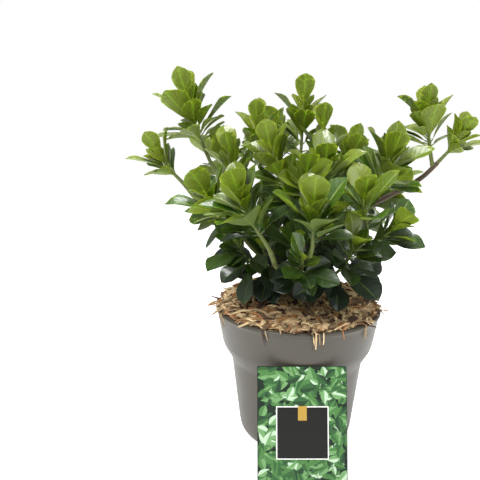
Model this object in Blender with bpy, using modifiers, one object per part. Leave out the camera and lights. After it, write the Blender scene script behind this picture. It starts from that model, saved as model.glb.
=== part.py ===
"""Young evergreen spindle shrub in its round nursery pot, with bark mulch and a plain picture card.

Run with: blender --background --python part.py
Metres, +Z up. The origin is the middle of the pot's flat underside, and -Y is the front.
Every piece is one closed solid: the pot, its compost, the mulch, the card, the stems and boughs,
and one solid for each leafy shoot.
"""

import math
import random

import bmesh
import bpy
from mathutils import Matrix, Vector
from mathutils.bvhtree import BVHTree

# Driving dimensions
GAP = 0.0003  # between pieces that touch

POT_HEIGHT = 0.127
RIM_RADIUS = 0.0765  # outer, at the top edge
COLLAR_LOW_RADIUS = 0.0710  # outer, at the collar's lower corner
COLLAR_LOW = 0.092  # height of that corner
BODY_TOP_RADIUS = 0.0625  # outer, where the collar's slope meets the body
BODY_TOP = 0.077
BASE_RADIUS = 0.0545  # outer, just above the rounded foot
FOOT_RADIUS = 0.0490  # of the flat underside
FOOT_ROUNDING = 0.009
POT_WALL = 0.0014
POT_SIDES = 40
DRAIN_HOLES = 6
DRAIN_HOLE_RADIUS = 0.004
DRAIN_CIRCLE_RADIUS = 0.036

MULCH_FLOOR = 0.104  # where the mulch lies on the compost
MULCH_EDGE = POT_HEIGHT - 0.0015  # height of the mulch along the wall, at the front
MULCH_SLOPE = 0.0045  # how much higher it is at the back
MULCH_RISE = 0.012  # of the heap's middle above its edge
MULCH_SIDES = 36

CARD_WIDTH = 0.074
CARD_LENGTH = 0.100
CARD_THICKNESS = 0.0008
CARD_TOP = 0.097  # height of the edge that leans on the collar
CARD_OFFSET = -0.0034  # of the card's middle from the pot's, sideways

LEAF_THICKNESS = 0.0007  # along the midrib
LEAF_WIDTH = 0.56  # of its length
PETIOLE_LENGTH = 0.17  # of the leaf's length
PETIOLE_RADIUS = 0.0008
LEAF_WIDEST = 0.60  # of the way along the blade
LEAF_FOLD = math.radians(16)  # each half above flat
LEAF_RECURVE = math.radians(34)  # from the blade's base to its tip
LEAF_STATIONS = (0.34, 0.74)  # along the blade, where the solid leaf has corners
LEAF_ROOM = 0.0008  # kept free round a leaf
TRIES = 9  # places that a leaf is tried in before it is left out
SEED = 41

TWIG_TIP_RADIUS = 0.0011
TWIG_FOOT_RADIUS = 0.0018
TWIG_SIDES = 4  # young spindle twigs are four-angled
STEM_FLARE = 1.35  # of a stem's foot
STEM_SINK = 0.009  # height over which the flare dies away

# The main stems, as foot on the mulch, tip, radius at foot and tip
STEMS = {
    "stem_left": ((-0.022, 0.004), (-0.040, -0.004, 0.205), 0.0034, 0.0027),
    "stem_front": ((-0.005, -0.016), (-0.006, -0.052, 0.182), 0.0032, 0.0026),
    "stem_centre": ((0.003, 0.018), (0.001, 0.014, 0.232), 0.0036, 0.0025),
    "stem_right": ((0.022, -0.002), (0.037, -0.010, 0.200), 0.0036, 0.0028),
    "stem_back": ((-0.002, 0.040), (-0.002, 0.058, 0.212), 0.0032, 0.0025),
}

# The boughs, as the stem or bough that carries each, how far along it, tip, radius at foot and tip
BOUGHS = {
    "bough_left": ("stem_left", 1.0, (-0.082, 0.008, 0.261), 0.0025, 0.0019),
    "bough_far_left": ("stem_left", 0.80, (-0.103, -0.015, 0.241), 0.0023, 0.0018),
    "bough_left_crest": ("stem_left", 0.92, (-0.034, 0.000, 0.236), 0.0021, 0.0018),
    "bough_left_shoulder": ("stem_left", 0.55, (-0.056, -0.042, 0.208), 0.0021, 0.0018),
    "bough_front_left": ("stem_front", 0.60, (-0.031, -0.080, 0.196), 0.0023, 0.0020),
    "bough_front": ("stem_front", 1.0, (0.000, -0.080, 0.194), 0.0022, 0.0018),
    "bough_front_middle": ("stem_centre", 0.50, (-0.012, -0.050, 0.228), 0.0021, 0.0018),
    "bough_right": ("stem_right", 1.0, (0.123, -0.002, 0.260), 0.0026, 0.0020),
    "bough_right_middle": ("stem_right", 0.80, (0.017, -0.032, 0.223), 0.0021, 0.0018),
    "bough_right_front": ("stem_right", 0.55, (0.048, -0.058, 0.202), 0.0021, 0.0018),
    "bough_back_left": ("stem_back", 0.62, (-0.058, 0.056, 0.228), 0.0022, 0.0018),
    "bough_back": ("stem_back", 1.0, (-0.008, 0.078, 0.248), 0.0023, 0.0018),
    "bough_back_right": ("stem_back", 0.74, (0.048, 0.062, 0.228), 0.0022, 0.0018),
}

# The leafy shoots, as carrier, how far along it, tip, leaf pairs, leaf length, turn of the top pair
# in degrees from the front, and how widely the leaves spread
SHOOTS = {
    "leaves_upper_left": ("bough_left", 1.0, (-0.100, 0.012, 0.310), 4, 0.044, 0, 1.0),
    "leaves_far_left": ("bough_far_left", 1.0, (-0.121, -0.020, 0.264), 2, 0.038, 0, 1.0),
    "leaves_left_crest": ("bough_left_crest", 1.0, (-0.039, 0.000, 0.289), 3, 0.040, 0, 1.0),
    "leaves_left_middle": ("bough_front_middle", 1.0, (-0.028, -0.058, 0.268), 3, 0.042, 0, 1.0),
    "leaves_inner_left": ("stem_left", 0.95, (-0.061, -0.022, 0.263), 3, 0.042, 0, 1.1),
    "leaves_top": ("stem_centre", 1.0, (0.004, 0.020, 0.308), 4, 0.040, 0, 1.0),
    "leaves_top_right": ("stem_right", 0.90, (0.020, 0.000, 0.284), 3, 0.040, 0, 1.0),
    "leaves_front_crest": ("bough_front_middle", 0.80, (-0.003, -0.064, 0.252), 2, 0.040, 0, 0.9),
    "leaves_right_middle": ("bough_right_middle", 1.0, (0.015, -0.042, 0.253), 3, 0.048, 0, 1.0),
    "leaves_front": ("bough_front", 1.0, (0.000, -0.092, 0.223), 3, 0.046, 0, 1.0),
    "leaves_front_low": ("stem_front", 0.82, (-0.005, -0.074, 0.186), 3, 0.038, 50, 1.3),
    "leaves_right": ("bough_right", 0.34, (0.072, -0.026, 0.260), 3, 0.048, 0, 1.0),
    "leaves_right_top": ("bough_right", 0.97, (0.114, 0.004, 0.297), 3, 0.044, 0, 1.0),
    "leaves_right_end": ("bough_right", 1.0, (0.136, -0.006, 0.279), 2, 0.038, 0, 1.2),
    "leaves_right_front": ("bough_right_front", 1.0, (0.043, -0.068, 0.230), 3, 0.042, 0, 1.1),
    "leaves_right_low": ("bough_right_front", 0.60, (0.068, -0.054, 0.208), 2, 0.044, 0, 1.2),
    "leaves_left_front": ("bough_front_left", 1.0, (-0.052, -0.092, 0.235), 3, 0.046, 0, 1.1),
    "leaves_left_shoulder": ("bough_left_shoulder", 1.0, (-0.076, -0.052, 0.230), 3, 0.046, 0, 1.1),
    "leaves_left_low": ("stem_left", 0.36, (-0.056, -0.044, 0.195), 4, 0.042, 40, 1.4),
    "leaves_left_foot": ("stem_left", 0.22, (-0.034, -0.034, 0.186), 4, 0.042, 30, 1.4),
    "leaves_low_middle": ("stem_front", 0.35, (-0.007, -0.050, 0.197), 5, 0.042, 20, 1.4),
    "leaves_right_foot": ("stem_right", 0.20, (0.037, -0.062, 0.194), 4, 0.046, 30, 1.4),
    "leaves_inner_front": ("stem_front", 0.70, (0.018, -0.052, 0.216), 5, 0.042, 30, 1.3),
    "leaves_inner_low": ("stem_centre", 0.35, (-0.026, -0.012, 0.196), 5, 0.044, 20, 1.4),
    "leaves_inner_low_right": ("stem_right", 0.50, (0.050, -0.004, 0.196), 4, 0.044, 20, 1.4),
    "leaves_inner_middle": ("stem_centre", 0.80, (-0.012, -0.014, 0.236), 4, 0.044, 45, 1.1),
    "leaves_inner_right": ("stem_right", 0.92, (0.056, 0.022, 0.232), 4, 0.046, 20, 1.1),
    "leaves_back_left": ("bough_back_left", 1.0, (-0.074, 0.070, 0.262), 4, 0.044, 30, 1.0),
    "leaves_back_left_low": ("bough_back_left", 0.55, (-0.076, 0.048, 0.206), 3, 0.044, 60, 1.3),
    "leaves_back_crest": ("bough_back", 1.0, (-0.014, 0.090, 0.284), 4, 0.044, 60, 1.0),
    "leaves_back_middle": ("bough_back", 0.50, (0.004, 0.116, 0.226), 4, 0.044, 20, 1.2),
    "leaves_back_right": ("bough_back_right", 1.0, (0.062, 0.078, 0.264), 4, 0.044, 0, 1.0),
    "leaves_back_right_end": ("bough_back_right", 0.66, (0.100, 0.052, 0.236), 4, 0.046, 70, 1.1),
    "leaves_back_foot": ("stem_back", 0.30, (0.016, 0.080, 0.172), 3, 0.044, 45, 1.4),
    "leaves_back_low": ("stem_back", 0.45, (-0.036, 0.086, 0.184), 3, 0.044, 45, 1.4),
}

# Colours from the photograph, as linear red, green and blue
POT_GREY = (0.105, 0.100, 0.090)
COMPOST_BROWN = (0.030, 0.018, 0.010)
MULCH_TAN = (0.300, 0.160, 0.070)
CARD_GREEN = (0.130, 0.300, 0.110)
BARK_GREEN = (0.120, 0.170, 0.030)
YOUNG_GREEN = (0.150, 0.300, 0.012)
OLD_GREEN = (0.012, 0.045, 0.016)
OLD_SHOOTS_BELOW = 0.215  # a shoot whose tip is lower than this has old, dark leaves


def clear_scene():
    for thing in list(bpy.data.objects):
        bpy.data.objects.remove(thing)


def new_collection(name):
    collection = bpy.data.collections.new(name)
    bpy.context.scene.collection.children.link(collection)
    return collection


def material(name, colour, roughness, metallic=0.0):
    """A Principled material, made once for each name."""
    found = bpy.data.materials.get(name)
    if found:
        return found
    made = bpy.data.materials.new(name)
    made.use_nodes = True
    shader = made.node_tree.nodes["Principled BSDF"]
    shader.inputs["Base Color"].default_value = (*colour, 1.0)
    shader.inputs["Roughness"].default_value = roughness
    shader.inputs["Metallic"].default_value = metallic
    made.diffuse_color = (*colour, 1.0)
    return made


def add_mesh(name, bm, collection, look=None):
    """A new object from a bmesh, its faces turned outwards."""
    bmesh.ops.recalc_face_normals(bm, faces=bm.faces)
    mesh = bpy.data.meshes.new(name)
    bm.to_mesh(mesh)
    bm.free()
    thing = bpy.data.objects.new(name, mesh)
    collection.objects.link(thing)
    if look:
        mesh.materials.append(look)
    return thing


def applied(thing):
    """Puts the object's evaluated mesh in place of its modifiers."""
    graph = bpy.context.evaluated_depsgraph_get()
    mesh = bpy.data.meshes.new_from_object(thing.evaluated_get(graph))
    thing.modifiers.clear()
    thing.data = mesh
    return thing


def turned(name, profile, sides, collection, look):
    """A solid of revolution about Z, from a profile of (radius, height) that runs from axis to axis."""
    bm = bmesh.new()
    corners = [bm.verts.new((radius, 0.0, height)) for radius, height in profile]
    for low, high in zip(corners, corners[1:]):
        bm.edges.new((low, high))
    mesh = bpy.data.meshes.new(name)
    bm.to_mesh(mesh)
    bm.free()
    thing = bpy.data.objects.new(name, mesh)
    collection.objects.link(thing)
    mesh.materials.append(look)
    screw = thing.modifiers.new("Turn", "SCREW")
    screw.steps = screw.render_steps = sides
    screw.use_merge_vertices = True
    screw.merge_threshold = 0.00005
    screw.use_smooth_shade = False
    return thing


# Pot

def pot_outline():
    """(radius, height) down the outside of the pot, from the rim to the edge of the flat foot."""
    lip = 0.0012  # how far the rim's bead stands out
    return [
        (RIM_RADIUS - 0.0004, POT_HEIGHT),
        (RIM_RADIUS + lip, POT_HEIGHT - 0.0014),
        (RIM_RADIUS + lip * 0.8, POT_HEIGHT - 0.0032),
        (RIM_RADIUS - 0.0003, POT_HEIGHT - 0.0046),
        (COLLAR_LOW_RADIUS, COLLAR_LOW),
        (BODY_TOP_RADIUS, BODY_TOP),
        (BASE_RADIUS, FOOT_ROUNDING),
        (BASE_RADIUS - 0.0016, FOOT_ROUNDING * 0.35),
        (FOOT_RADIUS, 0.0),
    ]


def pot_hollow():
    """(radius, height) up the inside of the pot, from the edge of its floor to the rim."""
    return [
        (FOOT_RADIUS - 0.0004, POT_WALL),
        (BASE_RADIUS - POT_WALL - 0.0008, FOOT_ROUNDING),
        (BODY_TOP_RADIUS - POT_WALL, BODY_TOP + 0.0006),
        (COLLAR_LOW_RADIUS - POT_WALL, COLLAR_LOW + 0.0006),
        (RIM_RADIUS - POT_WALL - 0.0003, POT_HEIGHT),
    ]


def make_pot(parts, cutters):
    look = material("pot_plastic", POT_GREY, 0.45)
    profile = [(0.0, POT_WALL), *pot_hollow(), *pot_outline(), (0.0, 0.0)]
    pot = applied(turned("pot", profile, POT_SIDES, parts, look))
    for number in range(DRAIN_HOLES):
        turn = math.tau * number / DRAIN_HOLES
        bm = bmesh.new()
        bmesh.ops.create_cone(
            bm,
            cap_ends=True,
            segments=10,
            radius1=DRAIN_HOLE_RADIUS,
            radius2=DRAIN_HOLE_RADIUS,
            depth=POT_WALL * 4,
        )
        hole = add_mesh(f"drain_cutter_{number}", bm, cutters)
        hole.location = (
            DRAIN_CIRCLE_RADIUS * math.cos(turn),
            DRAIN_CIRCLE_RADIUS * math.sin(turn),
            POT_WALL / 2,
        )
        hole.hide_render = True
        hole.display_type = "WIRE"
    cut = pot.modifiers.new("Drain holes", "BOOLEAN")
    cut.operation = "DIFFERENCE"
    cut.operand_type = "COLLECTION"
    cut.collection = cutters
    cut.solver = "EXACT"
    pot.data.shade_smooth()
    pot.data.set_sharp_from_angle(angle=math.radians(30))
    return pot


def inside_pot(height):
    """The radius of the pot's inner wall at a height."""
    points = pot_hollow()
    for (low_radius, low), (high_radius, high) in zip(points, points[1:]):
        if low <= height <= high:
            return low_radius + (high_radius - low_radius) * (height - low) / (high - low)
    return points[-1][0]


# Compost and mulch

def make_compost(parts):
    look = material("compost", COMPOST_BROWN, 0.95)
    floor = POT_WALL + GAP
    top = MULCH_FLOOR - GAP
    heights = [FOOT_ROUNDING, BODY_TOP, COLLAR_LOW + 0.0006]
    wall = [(inside_pot(height) - 2 * GAP, height) for height in heights]
    profile = [
        (0.0, top),
        (inside_pot(top) - 2 * GAP, top),
        *reversed(wall),
        (FOOT_RADIUS - 0.0014, floor),
        (0.0, floor),
    ]
    return turned("compost", profile, 32, parts, look)


def mulch_height(x, y):
    """The height of the mulch's surface: a low heap, higher towards the back, with lumps.

    The lumps are a sum of four waves across the pot, and fade out at the wall."""
    share = min(1.0, math.hypot(x, y) / RIM_RADIUS)
    heap = (1.0 - share**2) * MULCH_RISE + MULCH_SLOPE * (1.0 + y / RIM_RADIUS) / 2
    waves = ((95, 40, 0.4), (-60, 120, 1.9), (150, -35, 4.1), (70, 170, 2.6))
    lumps = sum(math.sin(a * x + b * y + phase) for a, b, phase in waves)
    return MULCH_EDGE + heap + 0.0009 * lumps * (1.0 - share**3)


def make_mulch(parts):
    look = material("mulch", MULCH_TAN, 0.9)
    edge = inside_pot(MULCH_EDGE) - 2 * GAP
    rings = [0.25, 0.5, 0.75, 0.92]
    profile = [
        (0.0, MULCH_EDGE),
        *[(edge * share, MULCH_EDGE) for share in rings],
        (edge, MULCH_EDGE),
        (inside_pot(MULCH_FLOOR) - 2 * GAP, MULCH_FLOOR),
        (0.0, MULCH_FLOOR),
    ]
    mulch = applied(turned("mulch", profile, MULCH_SIDES, parts, look))
    for corner in mulch.data.vertices:
        if corner.co.z > MULCH_FLOOR + 0.001:
            corner.co.z = mulch_height(corner.co.x, corner.co.y)
    return mulch


# Card

def make_card(parts):
    """A flat card whose foot stands in front of the pot and whose top edge leans on the collar."""
    look = material("card", CARD_GREEN, 0.35)
    share = (CARD_TOP - COLLAR_LOW) / (POT_HEIGHT - COLLAR_LOW)
    collar = COLLAR_LOW_RADIUS + share * (RIM_RADIUS - COLLAR_LOW_RADIUS)
    lean = math.acos(CARD_TOP / CARD_LENGTH)
    bm = bmesh.new()
    bmesh.ops.create_cube(bm, size=1.0)
    bmesh.ops.scale(bm, vec=(CARD_WIDTH, CARD_THICKNESS, CARD_LENGTH), verts=bm.verts)
    bmesh.ops.translate(bm, vec=(0, -CARD_THICKNESS / 2, -CARD_LENGTH / 2), verts=bm.verts)
    card = add_mesh("card", bm, parts, look)
    card.location = (CARD_OFFSET, -collar - 2 * GAP, CARD_TOP + CARD_THICKNESS * math.sin(lean))
    card.rotation_euler = (-lean, 0, 0)
    return card


# Limbs

def between(start, end, share):
    return start + (end - start) * share


def path_of(start, start_way, end, end_way, count):
    """Points along a cubic Hermite curve, whose end tangents have the chord's length."""
    reach = (end - start).length
    leave, arrive = start_way.normalized() * reach, end_way.normalized() * reach
    points = []
    for step in range(count + 1):
        t = step / count
        points.append(
            start * (2 * t**3 - 3 * t**2 + 1)
            + leave * (t**3 - 2 * t**2 + t)
            + end * (-2 * t**3 + 3 * t**2)
            + arrive * (t**3 - t**2)
        )
    return points


def point_along(limb, share):
    """(point, direction, radius) at a share of the way along a limb."""
    points, radii = limb
    place = min(share, 0.9999) * (len(points) - 1)
    index = int(place)
    within = place - index
    way = (points[index + 1] - points[index]).normalized()
    if share >= 1.0:
        return points[-1], way, radii[-1]
    radius = radii[index] + (radii[index + 1] - radii[index]) * within
    return between(points[index], points[index + 1], within), way, radius


def tapering(foot_radius, tip_radius, count):
    return [foot_radius + (tip_radius - foot_radius) * step / count for step in range(count + 1)]


def stem_limb(foot, tip, foot_radius, tip_radius, count=7):
    """A main stem, upright at its flat foot, which flares where it enters the mulch."""
    ground = max(
        mulch_height(foot[0] + 0.006 * math.cos(a), foot[1] + 0.006 * math.sin(a))
        for a in (0, 1, 2, 3, 4, 5)
    )
    start = Vector((*foot, ground + GAP))
    above = start + Vector((0, 0, STEM_SINK))
    tip = Vector(tip)
    points = path_of(above, Vector((0, 0, 1)), tip, tip - start + Vector((0, 0, 0.03)), count)
    radii = tapering(foot_radius, tip_radius, count)
    collar = between(start, above, 0.4)
    return [start, collar, *points], [foot_radius * STEM_FLARE, foot_radius * 1.1, *radii]


def side_limb(carrier, share, tip, tip_way, foot_radius, tip_radius, count):
    """A limb that leaves its carrier, clear of it by the gap, and bends round to tip_way."""
    origin, way, radius = point_along(carrier, share)
    tip = Vector(tip)
    aim = (tip - origin).normalized()
    if share >= 1.0:
        leave = (way + aim).normalized()
        turn = math.sin(way.angle(leave))
        start = origin + leave * (GAP + foot_radius * turn + 0.0001)
    else:
        out = (aim - way * aim.dot(way)).normalized()
        leave = (out * 0.9 + way * 0.6).normalized()
        lean = math.sqrt(max(0.0, 1.0 - leave.dot(out) ** 2))
        start = origin + out * (radius + GAP * 1.5 + foot_radius * lean)
    points = path_of(start, leave, tip, Vector(tip_way), count)
    return points, tapering(foot_radius, tip_radius, count)


def grow_limbs():
    """Every stem, bough and shoot twig, as {name: (points, radii)}."""
    limbs = {}
    for name, (foot, tip, foot_radius, tip_radius) in STEMS.items():
        limbs[name] = stem_limb(foot, tip, foot_radius, tip_radius)
    for name, (carrier, share, tip, foot_radius, tip_radius) in BOUGHS.items():
        origin = point_along(limbs[carrier], share)[0]
        outward = (Vector(tip) - origin).normalized() + Vector((0, 0, 0.5))
        limbs[name] = side_limb(limbs[carrier], share, tip, outward, foot_radius, tip_radius, 6)
    for name, (carrier, share, tip, *_) in SHOOTS.items():
        origin = point_along(limbs[carrier], share)[0]
        upward = (Vector(tip) - origin).normalized() + Vector((0, 0, 0.7))
        limbs[name] = side_limb(
            limbs[carrier], share, tip, upward, TWIG_FOOT_RADIUS, TWIG_TIP_RADIUS, 6
        )
    return limbs


def make_limb(name, limb, sides, collection, look):
    """A tapering round limb: a curve with a bevel, whose points carry its radii."""
    points, radii = limb
    curve = bpy.data.curves.new(name, "CURVE")
    curve.dimensions = "3D"
    curve.bevel_depth = 1.0
    curve.bevel_resolution = (sides - 4) // 2
    curve.use_fill_caps = True
    spline = curve.splines.new("POLY")
    spline.points.add(len(points) - 1)
    for knot, point, radius in zip(spline.points, points, radii):
        knot.co = (*point, 1.0)
        knot.radius = radius
    thing = bpy.data.objects.new(name, curve)
    collection.objects.link(thing)
    curve.materials.append(look)
    return thing


def as_mesh(thing, collection):
    """A mesh object in place of a curve, its caps welded on."""
    name = thing.name
    graph = bpy.context.evaluated_depsgraph_get()
    mesh = bpy.data.meshes.new_from_object(thing.evaluated_get(graph))
    bm = bmesh.new()
    bm.from_mesh(mesh)
    bmesh.ops.remove_doubles(bm, verts=bm.verts, dist=0.00001)
    bm.to_mesh(mesh)
    bm.free()
    bpy.data.objects.remove(thing)
    made = bpy.data.objects.new(name, mesh)
    collection.objects.link(made)
    return made


# Leaves

def leaf_width(share):
    """Half the blade's width at a share of its length, as a share of half its greatest width.

    A sine arch whose crown is moved to LEAF_WIDEST, and filled out by a root."""
    skew = math.log(0.5) / math.log(LEAF_WIDEST)
    return math.sin(math.pi * share**skew) ** 0.72


def leaf_solid(leaf, room=0.0, whole=True):
    """(points, faces) of one leaf: four-cornered sections from its root, sunk in the twig, to a point.

    Each section has the blade's left edge, midrib top, right edge and midrib underside. room swells
    the leaf, and without whole its stalk is left out."""
    blade = leaf["length"] * (1 - PETIOLE_LENGTH)
    half = leaf["length"] * LEAF_WIDTH * leaf["broad"] / 2
    way, normal = leaf["way"], leaf["normal"]
    side = way.cross(normal)
    base = leaf["root"] + way * leaf["length"] * PETIOLE_LENGTH
    sections = []
    if whole:
        sections.append((leaf["root"], way, normal, PETIOLE_RADIUS, 2 * PETIOLE_RADIUS, 0.0))
    sections.append((base, way, normal, PETIOLE_RADIUS, 2 * PETIOLE_RADIUS, 0.0))
    point, done = base, 0.0
    for share in (*LEAF_STATIONS, 1.0):
        middle = leaf["curl"] * (done + share) / 2
        point = point + (way * math.cos(middle) - normal * math.sin(middle)) * blade * (share - done)
        bend = leaf["curl"] * share
        up = normal * math.cos(bend) + way * math.sin(bend)
        along = way * math.cos(bend) - normal * math.sin(bend)
        if share < 1.0:
            sections.append((point, along, up, half * leaf_width(share), LEAF_THICKNESS, LEAF_FOLD))
        done = share
    points, faces = [], []
    for centre, _, up, width, thick, fold in sections:
        raised = up * (width * math.tan(fold))
        reach = side * (width + room)
        lift = up * (thick / 2 + room)
        points += [centre - reach + raised, centre + lift, centre + reach + raised, centre - lift]
    for ring in range(len(sections) - 1):
        for corner in range(4):
            following = (corner + 1) % 4
            low, high = ring * 4, ring * 4 + 4
            faces.append((low + corner, low + following, high + following, high + corner))
    tip = len(points)
    points.append(point + along * room)
    last = tip - 4
    faces += [(last + corner, last + (corner + 1) % 4, tip) for corner in range(4)]
    faces.append((3, 2, 1, 0))
    return points, faces


def leaf_on(twig, place, turn, angle, length, broad, curl):
    """A leaf at a share of a twig's length: turn is its bearing round the twig, from the front, and
    angle its lean away from the twig. Its upper side faces the twig's tip."""
    point, way, _ = point_along(twig, place)
    front = Vector((0, -1, 0))
    front = (front - way * front.dot(way)).normalized()
    across = way.cross(front)
    out = front * math.cos(turn) + across * math.sin(turn)
    leaf_way = way * math.cos(angle) + out * math.sin(angle)
    normal = (way - leaf_way * way.dot(leaf_way)).normalized()
    return {
        "root": point,
        "way": leaf_way,
        "normal": normal,
        "length": length,
        "broad": broad,
        "curl": curl,
    }


def pair_angle(rank, spread):
    """How far the leaves of a pair lean from the twig, where rank 0 is the top pair."""
    return math.radians(min(82.0, (16 + 15 * rank) * spread))


def pair_length(rank, pairs, length):
    """The leaves are shorter in the top pair and full size below it."""
    return length * (0.78, 0.94, 1.0, 1.0, 0.92, 0.85)[min(rank, 5)]


def pair_place(rank, pairs):
    """Where a pair grows, as a share of the twig: the pairs are closer towards the tip."""
    return 1.0 - 0.66 * (rank / max(1, pairs)) ** 0.9 - 0.004


def leaf_choices(shoot_number, rank, side, twig, shoot):
    """The places that a leaf is tried in, in order, each further from the rule than the last."""
    _, _, _, pairs, length, top_turn, spread = shoot
    draw = random.Random(SEED * 100000 + shoot_number * 1000 + rank * 10 + side)
    turn = math.radians(top_turn + 90 * rank + 180 * side) + draw.gauss(0, 0.16)
    angle = pair_angle(rank, spread) + draw.gauss(0, 0.10)
    size = pair_length(rank, pairs, length) * draw.uniform(0.90, 1.10)
    broad = draw.uniform(0.88, 1.12)
    curl = LEAF_RECURVE * draw.uniform(0.4, 1.5)
    place = pair_place(rank, pairs)
    for attempt in range(TRIES):
        stray = attempt / TRIES
        yield leaf_on(
            twig,
            place,
            turn + draw.uniform(-1, 1) * 0.9 * stray,
            max(0.12, angle + draw.uniform(-1, 0.5) * 0.7 * stray),
            size * (1 - 0.28 * stray),
            broad,
            curl,
        )


def in_the_open(points):
    """True if no point is in the mulch, in the pot or under its rim."""
    for point in points:
        out = math.hypot(point.x, point.y)
        if out < RIM_RADIUS + 0.003:
            floor = max(mulch_height(point.x, point.y), POT_HEIGHT if out > 0.068 else 0.0)
            if point.z < floor + 0.002:
                return False
        elif point.z < COLLAR_LOW:
            return False
    return True


def limb_tree(limb):
    """A search tree of a limb's surface, as a four-sided tube."""
    points, radii = limb
    corners, faces = [], []
    for index, (point, radius) in enumerate(zip(points, radii)):
        ahead = points[min(index + 1, len(points) - 1)] - points[max(index - 1, 0)]
        turn = ahead.to_track_quat("Z", "Y")
        for quarter in range(4):
            corner = Vector((radius, 0, 0))
            corner.rotate(Matrix.Rotation(math.radians(90 * quarter), 3, "Z"))
            corners.append(point + turn @ corner)
    for ring in range(len(points) - 1):
        for corner in range(4):
            low, following = ring * 4 + corner, ring * 4 + (corner + 1) % 4
            faces.append((low, following, following + 4, low + 4))
    return BVHTree.FromPolygons(corners, faces)


def middle_of(points):
    """(centre, radius) of a ball that holds the points."""
    centre = sum(points, Vector()) / len(points)
    return centre, max((point - centre).length for point in points)


class Thicket:
    """The leaves placed so far, and the limbs, kept as search trees to test a new leaf against."""

    def __init__(self, limbs):
        self.trees = {name: limb_tree(limb) for name, limb in limbs.items()}
        self.balls = {name: middle_of(limb[0]) for name, limb in limbs.items()}
        self.leaves = []
        self.grown = {name: [] for name in SHOOTS}

    def place(self, name, choices):
        """Puts a leaf of the named shoot in the first of the places that is free, if one is."""
        for leaf in choices:
            points, faces = leaf_solid(leaf, LEAF_ROOM)
            if not in_the_open(points[4:]):
                continue
            whole = BVHTree.FromPolygons(points, faces)
            blade = BVHTree.FromPolygons(*leaf_solid(leaf, LEAF_ROOM, whole=False))
            centre, reach = middle_of(points)
            if self.meets_limb(name, centre, reach, whole):
                continue
            if self.meets_leaf(name, centre, reach, whole, blade):
                continue
            solid = BVHTree.FromPolygons(*leaf_solid(leaf))
            bare = BVHTree.FromPolygons(*leaf_solid(leaf, whole=False))
            self.leaves.append((name, centre, reach, solid, bare))
            self.grown[name].append(leaf)
            return

    def meets_limb(self, name, centre, reach, whole):
        """True if the leaf touches a limb other than the twig that it grows on."""
        for limb, tree in self.trees.items():
            middle, size = self.balls[limb]
            if limb == name or (middle - centre).length > size + reach + 0.004:
                continue
            if whole.overlap(tree):
                return True
        return False

    def meets_leaf(self, name, centre, reach, whole, blade):
        """True if the leaf touches one that has been placed. Stalks on one twig may meet in it."""
        for other, middle, size, solid, bare in self.leaves:
            if (middle - centre).length > size + reach:
                continue
            if other == name:
                if blade.overlap(solid) or whole.overlap(bare):
                    return True
            elif whole.overlap(solid):
                return True
        return False


def grow_leaves(limbs):
    """{shoot name: [leaf, ...]}: the top pairs of all shoots come first, then the next pairs.

    A leaf that would touch another leaf or a limb is tried elsewhere, and then left out."""
    thicket = Thicket(limbs)
    for rank in range(max(shoot[3] for shoot in SHOOTS.values())):
        for number, (name, shoot) in enumerate(SHOOTS.items()):
            if rank >= shoot[3]:
                continue
            for side in (0, 1):
                thicket.place(name, leaf_choices(number, rank, side, limbs[name], shoot))
    return thicket.grown


def is_old(name):
    """True for the low shoots, whose leaves are old and dark."""
    return SHOOTS[name][2][2] < OLD_SHOOTS_BELOW


def make_shoot(name, limb, leaves, parts):
    """One closed solid: the twig with its leaves fused on."""
    young, old = material("young_leaf", YOUNG_GREEN, 0.35), material("old_leaf", OLD_GREEN, 0.3)
    look = old if is_old(name) else young
    twig = as_mesh(make_limb(name, limb, TWIG_SIDES, parts, look), parts)
    fused = new_collection(f"{name}_leaves")
    for number, leaf in enumerate(leaves):
        points, faces = leaf_solid(leaf)
        bm = bmesh.new()
        corners = [bm.verts.new(point) for point in points]
        for face in faces:
            bm.faces.new([corners[index] for index in face])
        add_mesh(f"{name}_leaf_{number}", bm, fused)
    union = twig.modifiers.new("Leaves", "BOOLEAN")
    union.operation = "UNION"
    union.operand_type = "COLLECTION"
    union.collection = fused
    union.solver = "MANIFOLD"
    applied(twig)
    for leaf in list(fused.objects):
        bpy.data.objects.remove(leaf)
    bpy.data.collections.remove(fused)
    return twig


def main():
    clear_scene()
    parts = new_collection("potted_spindle")
    cutters = new_collection("cutters")
    make_pot(parts, cutters)
    make_compost(parts)
    make_mulch(parts)
    make_card(parts)
    bark = material("green_bark", BARK_GREEN, 0.6)
    limbs = grow_limbs()
    for name in STEMS:
        make_limb(name, limbs[name], 8, parts, bark)
    for name in BOUGHS:
        make_limb(name, limbs[name], 6, parts, bark)
    for name, leaves in grow_leaves(limbs).items():
        make_shoot(name, limbs[name], leaves, parts)


main()
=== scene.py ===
"""The looks of a young evergreen spindle in its nursery pot: shell, mulch, card, bark and leaves.

Metres, +Z up, the origin in the middle of the pot's underside and -Y to the front. Each operator makes
one piece or one group of like pieces round the solids, and the last one makes the stage.
"""

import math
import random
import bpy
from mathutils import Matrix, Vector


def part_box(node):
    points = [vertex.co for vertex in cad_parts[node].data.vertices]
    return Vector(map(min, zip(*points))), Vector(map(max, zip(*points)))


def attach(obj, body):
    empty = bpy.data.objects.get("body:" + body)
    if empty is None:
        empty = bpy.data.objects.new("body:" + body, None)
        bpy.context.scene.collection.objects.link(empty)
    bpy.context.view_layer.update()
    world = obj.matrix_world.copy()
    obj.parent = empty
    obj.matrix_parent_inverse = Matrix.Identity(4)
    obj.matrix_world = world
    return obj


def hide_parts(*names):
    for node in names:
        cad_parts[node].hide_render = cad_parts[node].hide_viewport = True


bl_info = {
    "name": "Potted spindle shrub",
    "version": (1, 0, 0),
    "blender": (4, 5, 0),
    "location": "3D View > Sidebar > Spindle",
    "description": "Makes the pot, mulch, card, limbs and leaves of a young evergreen shrub",
    "category": "Object",
}

from collections import namedtuple

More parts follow.
